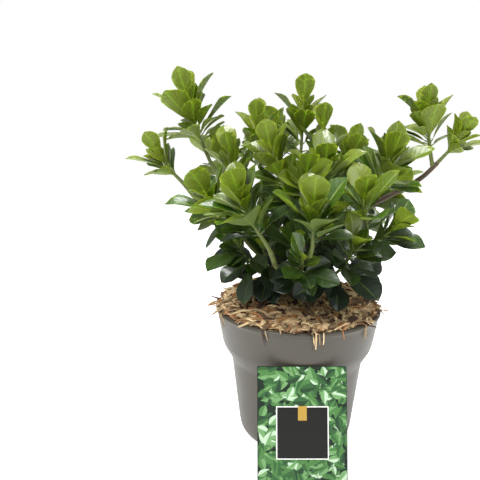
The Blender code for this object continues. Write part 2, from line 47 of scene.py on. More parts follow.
import bpy
import numpy as np
from bpy.props import FloatProperty, FloatVectorProperty, IntProperty, PointerProperty
from mathutils import Matrix, Vector
from mathutils.bvhtree import BVHTree

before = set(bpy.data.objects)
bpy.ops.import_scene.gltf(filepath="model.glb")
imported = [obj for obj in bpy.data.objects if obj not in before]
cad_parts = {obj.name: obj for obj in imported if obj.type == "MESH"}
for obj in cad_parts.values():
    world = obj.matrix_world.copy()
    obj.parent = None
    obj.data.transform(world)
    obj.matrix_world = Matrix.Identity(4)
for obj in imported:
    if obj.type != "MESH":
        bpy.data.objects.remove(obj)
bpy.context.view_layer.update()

# Driving dimensions of the solids
GAP = 0.0003
POT_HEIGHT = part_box("pot")[1][2]
RIM_RADIUS = 0.0765
COLLAR_LOW_RADIUS = 0.0710
COLLAR_LOW = 0.092
BODY_TOP_RADIUS = 0.0625
BODY_TOP = 0.077
BASE_RADIUS = 0.0545
FOOT_RADIUS = 0.0490
FOOT_ROUNDING = 0.009
POT_WALL = 0.0014
DRAIN_HOLES = 6
DRAIN_HOLE_RADIUS = 0.004
DRAIN_CIRCLE_RADIUS = 0.036
MULCH_FLOOR = 0.104
MULCH_EDGE = POT_HEIGHT - 0.0015
MULCH_SLOPE = 0.0045
MULCH_RISE = 0.012
CARD_WIDTH = 0.074
CARD_LENGTH = 0.100
CARD_THICKNESS = 0.0008
CARD_TOP = 0.097
CARD_OFFSET = -0.0034

# The rule that the limbs and leaves grow by
LEAF_THICKNESS = 0.0007
LEAF_WIDTH = 0.56
PETIOLE_LENGTH = 0.17
PETIOLE_RADIUS = 0.0008
LEAF_WIDEST = 0.60
LEAF_FOLD = math.radians(16)
LEAF_RECURVE = math.radians(34)
LEAF_STATIONS = (0.34, 0.74)
LEAF_ROOM = 0.0008
SMALL_LEAF_ROOM = 0.0001
PAIR_LENGTHS = (0.78, 0.94, 1.0, 1.0, 0.92, 0.85)  # by rank from the tip
TRIES = 9
SEED = 41
TWIG_TIP_RADIUS = 0.0011
TWIG_FOOT_RADIUS = 0.0018
STEM_FLARE = 1.35
STEM_REACH = 0.006  # from a stem's middle to where the mulch's height is read
STEM_SINK = 0.009
FINE = 4  # times as many path points as the solids have
LIMB_SINK = 0.0026  # how far a limb's foot runs on into what carries it
SIDE_VEINS = 8  # on each side of a leaf's midrib
STRAIGHTER = 0.5  # of the plain leaf's curl
BROWN_LIMBS = ("stem_right", "stem_back", "bough_right", "bough_back", "bough_back_right")

# The main stems, as foot on the mulch, tip, radius at foot and tip
STEMS = {
    "stem_left": ((-0.022, 0.004), (-0.040, -0.004, 0.205), 0.0034, 0.0027),
    "stem_front": ((-0.005, -0.016), (-0.006, -0.052, 0.182), 0.0032, 0.0026),
    "stem_centre": ((0.003, 0.018), (0.001, 0.014, 0.232), 0.0036, 0.0025),
    "stem_right": ((0.022, -0.002), (0.037, -0.010, 0.200), 0.0036, 0.0028),
    "stem_back": ((-0.002, 0.040), (-0.002, 0.058, 0.212), 0.0032, 0.0025),
}

# The boughs, as the limb that carries each, how far along it, tip, radius at foot and tip
BOUGHS = {
    "bough_left": ("stem_left", 1.0, (-0.082, 0.008, 0.261), 0.0025, 0.0019),
    "bough_far_left": ("stem_left", 0.80, (-0.103, -0.015, 0.241), 0.0023, 0.0018),
    "bough_left_crest": ("stem_left", 0.92, (-0.034, 0.000, 0.236), 0.0021, 0.0018),
    "bough_left_shoulder": ("stem_left", 0.55, (-0.056, -0.042, 0.208), 0.0021, 0.0018),
    "bough_front_left": ("stem_front", 0.60, (-0.031, -0.080, 0.196), 0.0023, 0.0020),
    "bough_front": ("stem_front", 1.0, (0.000, -0.080, 0.194), 0.0022, 0.0018),
    "bough_front_middle": ("stem_centre", 0.50, (-0.012, -0.050, 0.228), 0.0021, 0.0018),
    "bough_right": ("stem_right", 1.0, (0.123, -0.002, 0.260), 0.0026, 0.0020),
    "bough_right_middle": ("stem_right", 0.80, (0.017, -0.032, 0.223), 0.0021, 0.0018),
    "bough_right_front": ("stem_right", 0.55, (0.048, -0.058, 0.202), 0.0021, 0.0018),
    "bough_back_left": ("stem_back", 0.62, (-0.058, 0.056, 0.228), 0.0022, 0.0018),
    "bough_back": ("stem_back", 1.0, (-0.008, 0.078, 0.248), 0.0023, 0.0018),
    "bough_back_right": ("stem_back", 0.74, (0.048, 0.062, 0.228), 0.0022, 0.0018),
}

Shoot = namedtuple("Shoot", "carrier share tip pairs length turn spread")

# The leafy shoots, as carrier, how far along it, tip, leaf pairs, leaf length, turn of the top pair
# in degrees from the front, and how widely the leaves spread
SHOOTS = {
    "leaves_upper_left": Shoot("bough_left", 1.0, (-0.100, 0.012, 0.310), 4, 0.044, 0, 1.0),
    "leaves_far_left": Shoot("bough_far_left", 1.0, (-0.121, -0.020, 0.264), 2, 0.038, 0, 1.0),
    "leaves_left_crest": Shoot("bough_left_crest", 1.0, (-0.039, 0.000, 0.289), 3, 0.040, 0, 1.0),
    "leaves_left_middle": Shoot("bough_front_middle", 1.0, (-0.028, -0.058, 0.268), 3, 0.042, 0, 1.0),
    "leaves_inner_left": Shoot("stem_left", 0.95, (-0.061, -0.022, 0.263), 3, 0.042, 0, 1.1),
    "leaves_top": Shoot("stem_centre", 1.0, (0.004, 0.020, 0.308), 4, 0.040, 0, 1.0),
    "leaves_top_right": Shoot("stem_right", 0.90, (0.020, 0.000, 0.284), 3, 0.040, 0, 1.0),
    "leaves_front_crest": Shoot("bough_front_middle", 0.80, (-0.003, -0.064, 0.252), 2, 0.040, 0, 0.9),
    "leaves_right_middle": Shoot("bough_right_middle", 1.0, (0.015, -0.042, 0.253), 3, 0.048, 0, 1.0),
    "leaves_front": Shoot("bough_front", 1.0, (0.000, -0.092, 0.223), 3, 0.046, 0, 1.0),
    "leaves_front_low": Shoot("stem_front", 0.82, (-0.005, -0.074, 0.186), 3, 0.038, 50, 1.3),
    "leaves_right": Shoot("bough_right", 0.34, (0.072, -0.026, 0.260), 3, 0.048, 0, 1.0),
    "leaves_right_top": Shoot("bough_right", 0.97, (0.114, 0.004, 0.297), 3, 0.044, 0, 1.0),
    "leaves_right_end": Shoot("bough_right", 1.0, (0.136, -0.006, 0.279), 2, 0.038, 0, 1.2),
    "leaves_right_front": Shoot("bough_right_front", 1.0, (0.043, -0.068, 0.230), 3, 0.042, 0, 1.1),
    "leaves_right_low": Shoot("bough_right_front", 0.60, (0.068, -0.054, 0.208), 2, 0.044, 0, 1.2),
    "leaves_left_front": Shoot("bough_front_left", 1.0, (-0.052, -0.092, 0.235), 3, 0.046, 0, 1.1),
    "leaves_left_shoulder": Shoot("bough_left_shoulder", 1.0, (-0.076, -0.052, 0.230), 3, 0.046, 0, 1.1),
    "leaves_left_low": Shoot("stem_left", 0.36, (-0.056, -0.044, 0.195), 4, 0.042, 40, 1.4),
    "leaves_left_foot": Shoot("stem_left", 0.22, (-0.034, -0.034, 0.186), 4, 0.042, 30, 1.4),
    "leaves_low_middle": Shoot("stem_front", 0.35, (-0.007, -0.050, 0.197), 5, 0.042, 20, 1.4),
    "leaves_right_foot": Shoot("stem_right", 0.20, (0.037, -0.062, 0.194), 4, 0.046, 30, 1.4),
    "leaves_inner_front": Shoot("stem_front", 0.70, (0.018, -0.052, 0.216), 5, 0.042, 30, 1.3),
    "leaves_inner_low": Shoot("stem_centre", 0.35, (-0.026, -0.012, 0.196), 5, 0.044, 20, 1.4),
    "leaves_inner_low_right": Shoot("stem_right", 0.50, (0.050, -0.004, 0.196), 4, 0.044, 20, 1.4),
    "leaves_inner_middle": Shoot("stem_centre", 0.80, (-0.012, -0.014, 0.236), 4, 0.044, 45, 1.1),
    "leaves_inner_right": Shoot("stem_right", 0.92, (0.056, 0.022, 0.232), 4, 0.046, 20, 1.1),
    "leaves_back_left": Shoot("bough_back_left", 1.0, (-0.074, 0.070, 0.262), 4, 0.044, 30, 1.0),
    "leaves_back_left_low": Shoot("bough_back_left", 0.55, (-0.076, 0.048, 0.206), 3, 0.044, 60, 1.3),
    "leaves_back_crest": Shoot("bough_back", 1.0, (-0.014, 0.090, 0.284), 4, 0.044, 60, 1.0),
    "leaves_back_middle": Shoot("bough_back", 0.50, (0.004, 0.116, 0.226), 4, 0.044, 20, 1.2),
    "leaves_back_right": Shoot("bough_back_right", 1.0, (0.062, 0.078, 0.264), 4, 0.044, 0, 1.0),
    "leaves_back_right_end": Shoot("bough_back_right", 0.66, (0.100, 0.052, 0.236), 4, 0.046, 70, 1.1),
    "leaves_back_foot": Shoot("stem_back", 0.30, (0.016, 0.080, 0.172), 3, 0.044, 45, 1.4),
    "leaves_back_low": Shoot("stem_back", 0.45, (-0.036, 0.086, 0.184), 3, 0.044, 45, 1.4),
}


# Settings

def length_setting(name, description, default):
    return FloatProperty(name=name, description=description, default=default, min=0.0, subtype="DISTANCE")


def colour_setting(name, description, default):
    return FloatVectorProperty(
        name=name, description=description, default=default, min=0.0, max=1.0, subtype="COLOR"
    )


class SpindleSizes(bpy.types.PropertyGroup):
    """Sizes and counts that a user would change."""

    blade: length_setting("Blade thickness", "Thickness of a leaf along its midrib", 0.0004)
    tooth: FloatProperty(
        name="Teeth",
        description="Depth of the margin's teeth, of half the width",
        default=0.035,
        subtype="FACTOR",
    )
    vein: length_setting("Vein relief", "Height of the ridges between side veins", 0.00022)
    fibres: IntProperty(name="Fibres", description="Number of bark fibres on the mulch", default=4600, min=0)
    fibre_length: length_setting("Fibre length", "Middle length of a bark fibre", 0.0088)
    print_leaves: IntProperty(name="Printed leaves", description="Leaves on the card", default=430, min=0)


class SpindleColours(bpy.types.PropertyGroup):
    """Colours, as linear red, green and blue."""

    pot: colour_setting("Pot", "Grey plastic of the pot", (0.057, 0.050, 0.037))
    compost: colour_setting("Compost", "Damp compost", (0.030, 0.018, 0.010))
    fibre_light: colour_setting("Light fibre", "Palest bark fibre", (0.780, 0.560, 0.310))
    fibre_dark: colour_setting("Dark fibre", "Darkest bark fibre", (0.050, 0.022, 0.011))
    bark_green: colour_setting("Green bark", "Bark of young limbs", (0.120, 0.160, 0.030))
    bark_brown: colour_setting("Brown bark", "Bark of old limbs", (0.070, 0.045, 0.022))
    leaf_fresh: colour_setting("Fresh leaf", "Upper side of the youngest leaves", (0.165, 0.215, 0.006))
    leaf_ripe: colour_setting("Ripe leaf", "Upper side of grown leaves", (0.044, 0.098, 0.005))
    leaf_old: colour_setting("Old leaf", "Upper side of old leaves", (0.0045, 0.0125, 0.0065))
    card_ink: colour_setting("Card ink", "Dark ground of the card's print", (0.006, 0.016, 0.008))
    card_gold: colour_setting("Card gold", "Tab on the card", (0.450, 0.290, 0.060))


# Node materials

class Value:
    """A socket that carries numbers. Arithmetic on it adds Math nodes."""

    def __init__(self, finish, socket):
        self.finish = finish
        self.socket = socket

    def __add__(self, other):
        return self.finish.math("ADD", self, other)

    __radd__ = __add__

    def __mul__(self, other):
        return self.finish.math("MULTIPLY", self, other)

    __rmul__ = __mul__

    def __sub__(self, other):
        return self.finish.math("SUBTRACT", self, other)

    def __rsub__(self, other):
        return self.finish.math("SUBTRACT", other, self)


class Finish:
    """A node material. node() adds any node, and the other methods are short forms of it."""

    def __init__(self, name, **constants):
        self.material = bpy.data.materials.new(name)
        self.material.use_nodes = True
        self.tree = self.material.node_tree
        self.shader = self.tree.nodes["Principled BSDF"]
        for socket, value in constants.items():
            self.shader.inputs[socket.replace("_", " ")].default_value = value
        self.place = self.node("ShaderNodeTexCoord", output="Object")

    def put(self, socket, value):
        if isinstance(value, Value):
            self.tree.links.new(value.socket, socket)
        elif isinstance(value, tuple) and len(value) == 3 and socket.type == "RGBA":
            socket.default_value = (*value, 1.0)
        else:
            socket.default_value = value

    def node(self, kind, settings=None, values=None, output=0):
        """Adds a node: its settings first, with a ramp's stops among them, then its sockets' values."""
        made = self.tree.nodes.new(kind)
        for key, value in (settings or {}).items():
            if key == "stops":
                self.set_stops(made.color_ramp, value)
            else:
                setattr(made, key, value)
        for key, value in (values or {}).items():
            self.put(made.inputs[key], value)
        return Value(self, made.outputs[output])

    @staticmethod
    def set_stops(ramp, stops):
        for index, (place, level) in enumerate(stops):
            stop = ramp.elements[index] if index < 2 else ramp.elements.new(place)
            stop.position = place
            stop.color = (level, level, level, 1.0)

    def math(self, operation, left, right):
        return self.node("ShaderNodeMath", {"operation": operation}, {0: left, 1: right})

    def stretched(self, x, y, z):
        return self.node("ShaderNodeMapping", None, {"Vector": self.place, "Scale": (x, y, z)})

    def noise(self, scale, detail=3.0, place=None, roughness=0.5):
        values = {"Vector": place or self.place, "Scale": scale, "Detail": detail, "Roughness": roughness}
        return self.node("ShaderNodeTexNoise", {"noise_dimensions": "3D"}, values)

    def ramp(self, value, *stops):
        return self.node("ShaderNodeValToRGB", {"stops": stops}, {"Fac": value})

    def blend(self, factor, first, second):
        return self.node("ShaderNodeMix", {"data_type": "RGBA"}, {0: factor, 6: first, 7: second}, output=2)

    def bump(self, height, distance, strength=1.0):
        values = {"Height": height, "Distance": distance, "Strength": strength}
        return self.node("ShaderNodeBump", None, values)

    def dress(self, **sockets):
        for socket, value in sockets.items():
            self.put(self.shader.inputs[socket.replace("_", " ")], value)
        return self.material


def shaded(colour, factor):
    """A colour made lighter or darker, kept under full white."""
    return tuple(min(1.0, part * factor) for part in colour)


def mixed(first, second, share):
    """A colour a share of the way from the first to the second."""
    return tuple(a + (b - a) * share for a, b in zip(first, second))


def plastic_finish(colour):
    """Moulded plastic: fine grain, faint bands round the pot, dull patches and pale scuffs."""
    finish = Finish("pot_grey_plastic", IOR=1.46)
    bands = finish.noise(1.0, 3.0, finish.stretched(9, 9, 150))
    patches = finish.noise(38, 4.0)
    scuffs = finish.ramp(finish.noise(1.0, 6.0, finish.stretched(60, 60, 420)), (0.60, 0.0), (0.74, 1.0))
    tone = finish.blend(patches * 0.7 + bands * 0.3, shaded(colour, 0.84), shaded(colour, 1.18))
    tone = finish.blend(scuffs * 0.30, tone, shaded(colour, 1.7))
    grain = finish.noise(1500, 2.0)
    return finish.dress(
        Base_Color=tone,
        Roughness=0.34 + patches * 0.16 + scuffs * 0.14,
        Normal=finish.bump(grain * 0.6 + bands * 0.8, 0.00012, 0.5),
    )


def earth_finish(name, dark, light, scale):
    """Loose crumbs: two tones by noise, with a rough relief."""
    finish = Finish(name, IOR=1.4)
    crumbs = finish.noise(scale, 6.0, None, 0.65)
    tone = finish.blend(finish.ramp(crumbs, (0.36, 0.0), (0.66, 1.0)), dark, light)
    return finish.dress(Base_Color=tone, Roughness=0.82 + crumbs * 0.16, Normal=finish.bump(crumbs, 0.0012))


def fibre_finish(name, colour):
    """Torn wood fibre: fine streaks and darker specks."""
    finish = Finish(name, IOR=1.45)
    streaks = finish.noise(520, 5.0, None, 0.7)
    specks = finish.noise(170, 2.0)
    tone = finish.blend(streaks, shaded(colour, 0.62), shaded(colour, 1.38))
    tone = finish.blend(finish.ramp(specks, (0.56, 0.0), (0.72, 0.55)), tone, shaded(colour, 0.42))
    return finish.dress(Base_Color=tone, Roughness=0.72 + streaks * 0.2, Normal=finish.bump(streaks, 0.0005))


def bark_finish(name, green, brown, old):
    """Young bark: green with brown cork in long patches, browner where it is old."""
    finish = Finish(name, IOR=1.45)
    cork = finish.noise(1.0, 4.0, finish.stretched(420, 420, 110))
    patches = finish.noise(60, 3.0)
    tone = finish.blend(finish.ramp(patches + cork * 0.4, (0.66 - old, 0.0), (0.92 - old, 1.0)), green, brown)
    tone = finish.blend(cork * 0.5, tone, shaded(brown, 0.5))
    return finish.dress(Base_Color=tone, Roughness=0.48 + cork * 0.3, Normal=finish.bump(cork, 0.0004))


def leaf_veins(finish):
    """(side veins, midrib) as masks from the leaf's own UV map: the side veins are the zeros of a sine
    that runs along the blade and lags towards the margin."""
    place = finish.node("ShaderNodeUVMap", {"uv_map": "leaf"})
    across = finish.node("ShaderNodeSeparateXYZ", None, {0: place}, output=0)
    along = finish.node("ShaderNodeSeparateXYZ", None, {0: place}, output=1)
    away = finish.math("ABSOLUTE", across * 2.0 - 1.0, 0.0)
    wave = finish.math("SINE", (along - away * 0.24) * (SIDE_VEINS * math.pi), 0.0)
    lines = finish.ramp(finish.math("ABSOLUTE", wave, 0.0), (0.0, 1.0), (0.30, 0.0))
    return lines, finish.ramp(away, (0.03, 1.0), (0.11, 0.0))


def leaf_finish(name, colour, gloss, glow, veins=0.0, relief=-1.0):
    """A leathery leaf: a waxy coat over a faintly mottled green that lets some light through, with
    side veins that are paler by veins and sunk or raised by relief."""
    finish = Finish(
        name,
        IOR=1.45,
        Coat_Weight=gloss,
        Coat_Roughness=0.16,
        Subsurface_Weight=glow,
        Subsurface_Radius=(0.6, 1.0, 0.15),
        Subsurface_Scale=0.0012,
    )
    mottle = finish.noise(190, 4.0, None, 0.6)
    pores = finish.noise(1400, 2.0)
    tone = finish.blend(mottle, shaded(colour, 0.80), shaded(colour, 1.22))
    height = mottle * 0.6 + pores * 0.2
    if veins:
        lines, rib = leaf_veins(finish)
        pale = mixed(shaded(colour, 1.9), (0.20, 0.24, 0.07), 0.25)
        tone = finish.blend(lines * veins + rib * veins, tone, pale)
        height = height + lines * relief + rib * relief
    matt = 0.42 - 0.30 * gloss
    return finish.dress(
        Base_Color=tone, Roughness=matt + mottle * 0.20, Normal=finish.bump(height, 0.0004, 0.7)
    )


def print_finish(name, colour, metallic=0.0):
    """Printed, laminated card: a flat ink with a faint dot and a smooth gloss."""
    finish = Finish(name, IOR=1.35)
    dots = finish.noise(900, 2.0)
    tone = finish.blend(dots, shaded(colour, 0.86), shaded(colour, 1.14))
    return finish.dress(Base_Color=tone, Roughness=0.46 + dots * 0.10, Metallic=metallic)


# Meshes from arrays

def unit(vectors):
    """Vectors scaled to length one along their last axis."""
    return vectors / np.maximum(np.linalg.norm(vectors, axis=-1, keepdims=True), 1e-12)


def lofts(rings, low_poles=None, high_poles=None):
    """Closed tubes: rings[tube, ring, corner] joined by quads, with a fan to a pole at each end.

    A pole is the ring's middle unless it is given. Returns (points, quads, fans), the faces as arrays
    of [tube, ring, corner] and [tube, end, corner], turned so that the first tube's faces point out."""
    count, length, sides, _ = rings.shape
    low_poles = rings[:, 0].mean(axis=1) if low_poles is None else low_poles
    high_poles = rings[:, -1].mean(axis=1) if high_poles is None else high_poles
    points = np.concatenate([rings.reshape(-1, 3), low_poles, high_poles])
    index = np.arange(count * length * sides).reshape(count, length, sides)
    after = np.roll(index, -1, axis=2)
    quads = np.stack([index[:, :-1], after[:, :-1], after[:, 1:], index[:, 1:]], axis=-1)
    low = np.broadcast_to((count * length * sides + np.arange(count))[:, None], (count, sides))
    high = low + count
    fans = np.stack(
        [
            np.stack([after[:, 0], index[:, 0], low], axis=-1),
            np.stack([index[:, -1], after[:, -1], high], axis=-1),
        ],
        axis=1,
    )
    first = quads[0].reshape(-1, 4)
    triangles = points[np.concatenate([first[:, :3], first[:, [0, 2, 3]], fans[0].reshape(-1, 3)])]
    volume = np.einsum("ij,ij->", triangles[:, 0], np.cross(triangles[:, 1], triangles[:, 2]))
    if volume < 0:
        quads, fans = quads[..., ::-1], fans[..., ::-1]
    return points, quads, fans


def add_piece(name, points, faces, slots, looks, replaced=(), crease=None, uvs=None):
    """A new mesh object at the origin, riding on the plant, with a material number for each face."""
    mesh = bpy.data.meshes.new(name)
    mesh.from_pydata(points.tolist(), [], faces)
    for look in looks:
        mesh.materials.append(look)
    mesh.polygons.foreach_set("material_index", np.ascontiguousarray(slots, dtype=np.int32))
    mesh.validate()
    if uvs is not None:
        corners = np.empty(len(mesh.loops), dtype=np.int32)
        mesh.loops.foreach_get("vertex_index", corners)
        mesh.uv_layers.new(name="leaf").data.foreach_set("uv", uvs[corners].astype(np.float32).ravel())
    mesh.shade_smooth()
    if crease:
        mesh.set_sharp_from_angle(angle=math.radians(crease))
    mesh.update()
    piece = bpy.data.objects.new(name, mesh)
    bpy.context.scene.collection.objects.link(piece)
    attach(piece, "root")
    if replaced:
        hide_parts(*replaced)
    return piece


def add_lofts(name, shape, looks, replaced=(), crease=None, quad_slots=None, fan_slots=None, uvs=None):
    """A piece from one lofts() result, or from a list of them, in material 0 unless told otherwise."""
    shapes = shape if isinstance(shape, list) else [shape]
    points, faces, slots, shift = [], [], [], 0
    for number, (some, quads, fans) in enumerate(shapes):
        points.append(some)
        faces += (quads.reshape(-1, 4) + shift).tolist() + (fans.reshape(-1, 3) + shift).tolist()
        shift += len(some)
        for array, given in ((quads, quad_slots), (fans, fan_slots)):
            chosen = 0 if given is None else given[number]
            slots.append(np.broadcast_to(chosen, array.shape[:-1]).reshape(-1))
    slots = np.concatenate(slots)
    return add_piece(name, np.concatenate(points), faces, slots, looks, replaced, crease, uvs)


def turned(profile, segments):
    """The rings of a lathe: each (radius, height) of the profile carried round the Z axis."""
    angles = np.linspace(0, math.tau, segments, endpoint=False)
    radius, height = profile[:, 0, None], profile[:, 1, None]
    circle = np.broadcast_arrays(radius * np.cos(angles), radius * np.sin(angles), height)
    return np.stack(circle, axis=-1)[None]


def rounded(profile, cut):
    """A profile whose corners are cut off and then cut again, each within the given distance."""
    for reach in (cut, cut * 0.4):
        before, here, after = profile[:-2], profile[1:-1], profile[2:]
        back, ahead = before - here, after - here
        far_back, far_ahead = np.linalg.norm(back, axis=1), np.linalg.norm(ahead, axis=1)
        first = here + back * (np.minimum(reach, far_back * 0.3) / far_back)[:, None]
        second = here + ahead * (np.minimum(reach, far_ahead * 0.3) / far_ahead)[:, None]
        inner = np.stack([first, second], axis=1).reshape(-1, 2)
        profile = np.concatenate([profile[:1], inner, profile[-1:]])
    return profile


# Pot, compost and mulch

POT_SEGMENTS = 144
BED_SEGMENTS = 150
BED_RINGS = 44
BED_SINK = 0.0006  # how far the crumbly bed lies under the strips
LONGEST_FIBRE = 0.026
WIDEST_FIBRE = 0.0040
RED_FIBRE = (0.360, 0.165, 0.060)

# The odds of each tint, from the lightest to the darkest and then the red
FIBRE_ODDS = (0.19, 0.16, 0.14, 0.13, 0.13, 0.10, 0.15)

# What hangs over the rim and down the collar, as (bearing in degrees, how many)
RIM_CLUMPS = ((-84, 10), (-48, 8), (-102, 5), (184, 7), (197, 6), (-20, 7), (-135, 5), (60, 7), (120, 6))
COLLAR_STRANDS = ((-86, 4), (-82, 4), (205, 3), (199, 1), (-117, 2), (-66, 1), (-48, 2), (130, 2))


def pot_hollow():
    """(radius, height) up the inside of the pot, from the edge of its floor to the rim."""
    return [
        (FOOT_RADIUS - 0.0004, POT_WALL),
        (BASE_RADIUS - POT_WALL - 0.0008, FOOT_ROUNDING),
        (BODY_TOP_RADIUS - POT_WALL, BODY_TOP + 0.0006),
        (COLLAR_LOW_RADIUS - POT_WALL, COLLAR_LOW + 0.0006),
        (RIM_RADIUS - POT_WALL - 0.0003, POT_HEIGHT),
    ]


def pot_outline():
    """(radius, height) down the outside of the pot, from the rim to the edge of the flat foot."""
    lip = 0.0012
    return [
        (RIM_RADIUS - 0.0004, POT_HEIGHT),
        (RIM_RADIUS + lip, POT_HEIGHT - 0.0014),
        (RIM_RADIUS + lip * 0.8, POT_HEIGHT - 0.0032),
        (RIM_RADIUS - 0.0003, POT_HEIGHT - 0.0046),
        (COLLAR_LOW_RADIUS, COLLAR_LOW),
        (BODY_TOP_RADIUS, BODY_TOP),
        (BASE_RADIUS, FOOT_ROUNDING),
        (BASE_RADIUS - 0.0016, FOOT_ROUNDING * 0.35),
        (FOOT_RADIUS, 0.0),
    ]


def inside_pot(height):
    """The radius of the pot's inner wall at a height."""
    radii, heights = zip(*pot_hollow())
    return float(np.interp(height, heights, radii))


def mulch_height(x, y):
    """The height of the mulch's surface: a low heap, higher towards the back, with lumps that are a
    sum of four waves across the pot and fade out at the wall. Takes numbers or arrays."""
    share = np.minimum(1.0, np.hypot(x, y) / RIM_RADIUS)
    heap = (1.0 - share**2) * MULCH_RISE + MULCH_SLOPE * (1.0 + y / RIM_RADIUS) / 2
    waves = ((95, 40, 0.4), (-60, 120, 1.9), (150, -35, 4.1), (70, 170, 2.6))
    lumps = sum(np.sin(a * x + b * y + phase) for a, b, phase in waves)
    return MULCH_EDGE + heap + 0.0009 * lumps * (1.0 - share**3)


class SPINDLE_OT_pot(bpy.types.Operator):
    """Turns the pot's shell with its bead, collar and drain holes"""

    bl_idname = "spindle.pot"
    bl_label = "Pot"

    def execute(self, context):
        inside = np.array([(FOOT_RADIUS * 0.3, POT_WALL), *pot_hollow()])
        outside = np.array([*pot_outline(), (FOOT_RADIUS * 0.3, 0.0)])
        profile = rounded(np.concatenate([inside, outside]), 0.0022)
        poles = np.array([[0, 0, POT_WALL]]), np.array([[0, 0, 0.0]])
        look = plastic_finish(tuple(context.scene.spindle_colours.pot))
        shape = lofts(turned(profile, POT_SEGMENTS), *poles)
        shell = add_lofts("pot_shell", shape, [look], ("pot",), 50)
        bearings = np.arange(DRAIN_HOLES) * math.tau / DRAIN_HOLES
        middles = np.stack([np.cos(bearings), np.sin(bearings)], axis=-1) * DRAIN_CIRCLE_RADIUS
        rings = turned(np.array([(DRAIN_HOLE_RADIUS, -POT_WALL), (DRAIN_HOLE_RADIUS, 3 * POT_WALL)]), 24)
        rings = np.repeat(rings, DRAIN_HOLES, axis=0)
        rings[..., :2] += middles[:, None, None]
        points, quads, fans = lofts(rings)
        tool = bpy.data.meshes.new("drain_tool")
        tool.from_pydata(points.tolist(), [], quads.reshape(-1, 4).tolist() + fans.reshape(-1, 3).tolist())
        cutter = bpy.data.objects.new("drain_tool", tool)
        context.scene.collection.objects.link(cutter)
        cut = shell.modifiers.new("Drain holes", "BOOLEAN")
        cut.operation = "DIFFERENCE"
        cut.solver = "EXACT"
        cut.object = cutter
        graph = context.evaluated_depsgraph_get()
        holed = bpy.data.meshes.new_from_object(shell.evaluated_get(graph))
        shell.modifiers.clear()
        shell.data = holed
        bpy.data.objects.remove(cutter)
        return {"FINISHED"}


class SPINDLE_OT_compost(bpy.types.Operator):
    """Gives the compost its crumbs"""

    bl_idname = "spindle.compost"
    bl_label = "Compost"

    def execute(self, context):
        brown = tuple(context.scene.spindle_colours.compost)
        look = earth_finish("damp_compost", brown, shaded(brown, 3.0), 420)
        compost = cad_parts["compost"]
        compost.data.materials.clear()
        compost.data.materials.append(look)
        return {"FINISHED"}


def strips(draw, middles, ways, tilts, lengths, widths, thicknesses):
    """Torn strips as [strip, ring, corner]: a flat four-cornered section carried along a shallow arc,
    narrow at both ends, with a twist. ways are bearings, and tilts the rise along the strip."""
    count = len(middles)
    along = np.linspace(-0.5, 0.5, 4)
    bend = draw.normal(0, 0.45, (count, 1))
    arch = draw.normal(0.04, 0.08, (count, 1))
    bearing = ways[:, None] + bend * along
    axes = np.broadcast_arrays(np.cos(bearing), np.sin(bearing), tilts[:, None])
    heading = np.stack(axes, axis=-1)
    centre = middles[:, None] + heading * (lengths[:, None] * along)[..., None]
    centre[..., 2] += arch * lengths[:, None] * (1 - 4 * along**2)
    roll = draw.normal(0, 0.40, (count, 1)) + draw.normal(0, 0.6, (count, 1)) * along
    flat = unit(np.cross(heading, (0.0, 0.0, 1.0)))
    lift = unit(np.cross(flat, heading))
    side = flat * np.cos(roll)[..., None] + lift * np.sin(roll)[..., None]
    top = lift * np.cos(roll)[..., None] - flat * np.sin(roll)[..., None]
    taper = np.array([0.62, 1.0, 0.95, 0.55]) * draw.uniform(0.75, 1.25, (count, 4))
    half = side * (widths[:, None] * taper / 2)[..., None]
    deep = top * (thicknesses[:, None] * taper / 2)[..., None]
    corners = [centre - half - deep, centre + half - deep, centre + half + deep, centre - half + deep]
    return np.stack(corners, axis=2)


def around(draw, groups, stray):
    """Bearings, strayed a little, from groups of (bearing in degrees, how many)."""
    bearings = np.concatenate([np.full(number, math.radians(where)) for where, number in groups])
    return bearings + draw.normal(0, stray, len(bearings))


def strewn_strips(draw, count, middle_length, edge):
    """Strips all over the heap, within the radius edge. Near the wall they lie along it, and some of
    them rest on the rim."""
    radius = edge * np.sqrt(draw.uniform(0, 1.0, count)) * 0.99
    bearing = draw.uniform(0, math.tau, count)
    x, y = radius * np.cos(bearing), radius * np.sin(bearing)
    length = np.minimum(middle_length * np.exp(draw.normal(0, 0.42, count)), LONGEST_FIBRE)
    ways = draw.uniform(0, math.tau, count)
    near = radius > edge * 0.86
    ways[near] = bearing[near] + math.pi / 2 + draw.normal(0, 0.55, near.sum())
    middles = np.stack([x, y, mulch_height(x, y) + draw.uniform(0, 0.0016, count)], axis=-1)
    high = near & (draw.uniform(0, 1, count) < 0.55)
    middles[high, 2] = np.maximum(middles[high, 2], POT_HEIGHT + draw.uniform(0.0, 0.0014, high.sum()))
    width = np.minimum(length * draw.uniform(0.08, 0.46, count), WIDEST_FIBRE)
    rings = strips(draw, middles, ways, draw.normal(0, 0.10, count), length, width, width * 0.20 + 0.0003)
    points = rings.reshape(-1, 3)
    out = np.hypot(points[:, 0], points[:, 1])
    low = (out > edge - 0.001) & (points[:, 2] < POT_HEIGHT + 0.0004)
    points[low, :2] *= ((edge - 0.001) / out[low])[:, None]
    return rings


def rim_strips(draw):
    """Strips in clumps that hang over the rim."""
    bearing = around(draw, RIM_CLUMPS, 0.05)
    count = len(bearing)
    radius = RIM_RADIUS + draw.uniform(-0.004, 0.0035, count)
    height = POT_HEIGHT + 0.0012 + draw.uniform(0, 0.0022, count)
    middles = np.stack([radius * np.cos(bearing), radius * np.sin(bearing), height], axis=-1)
    length = draw.uniform(0.007, 0.015, count)
    ways = bearing + draw.normal(0, 0.6, count)
    tilts = draw.uniform(-0.30, -0.04, count)
    return strips(draw, middles, ways, tilts, length, length * 0.16, np.full(count, 0.0005))


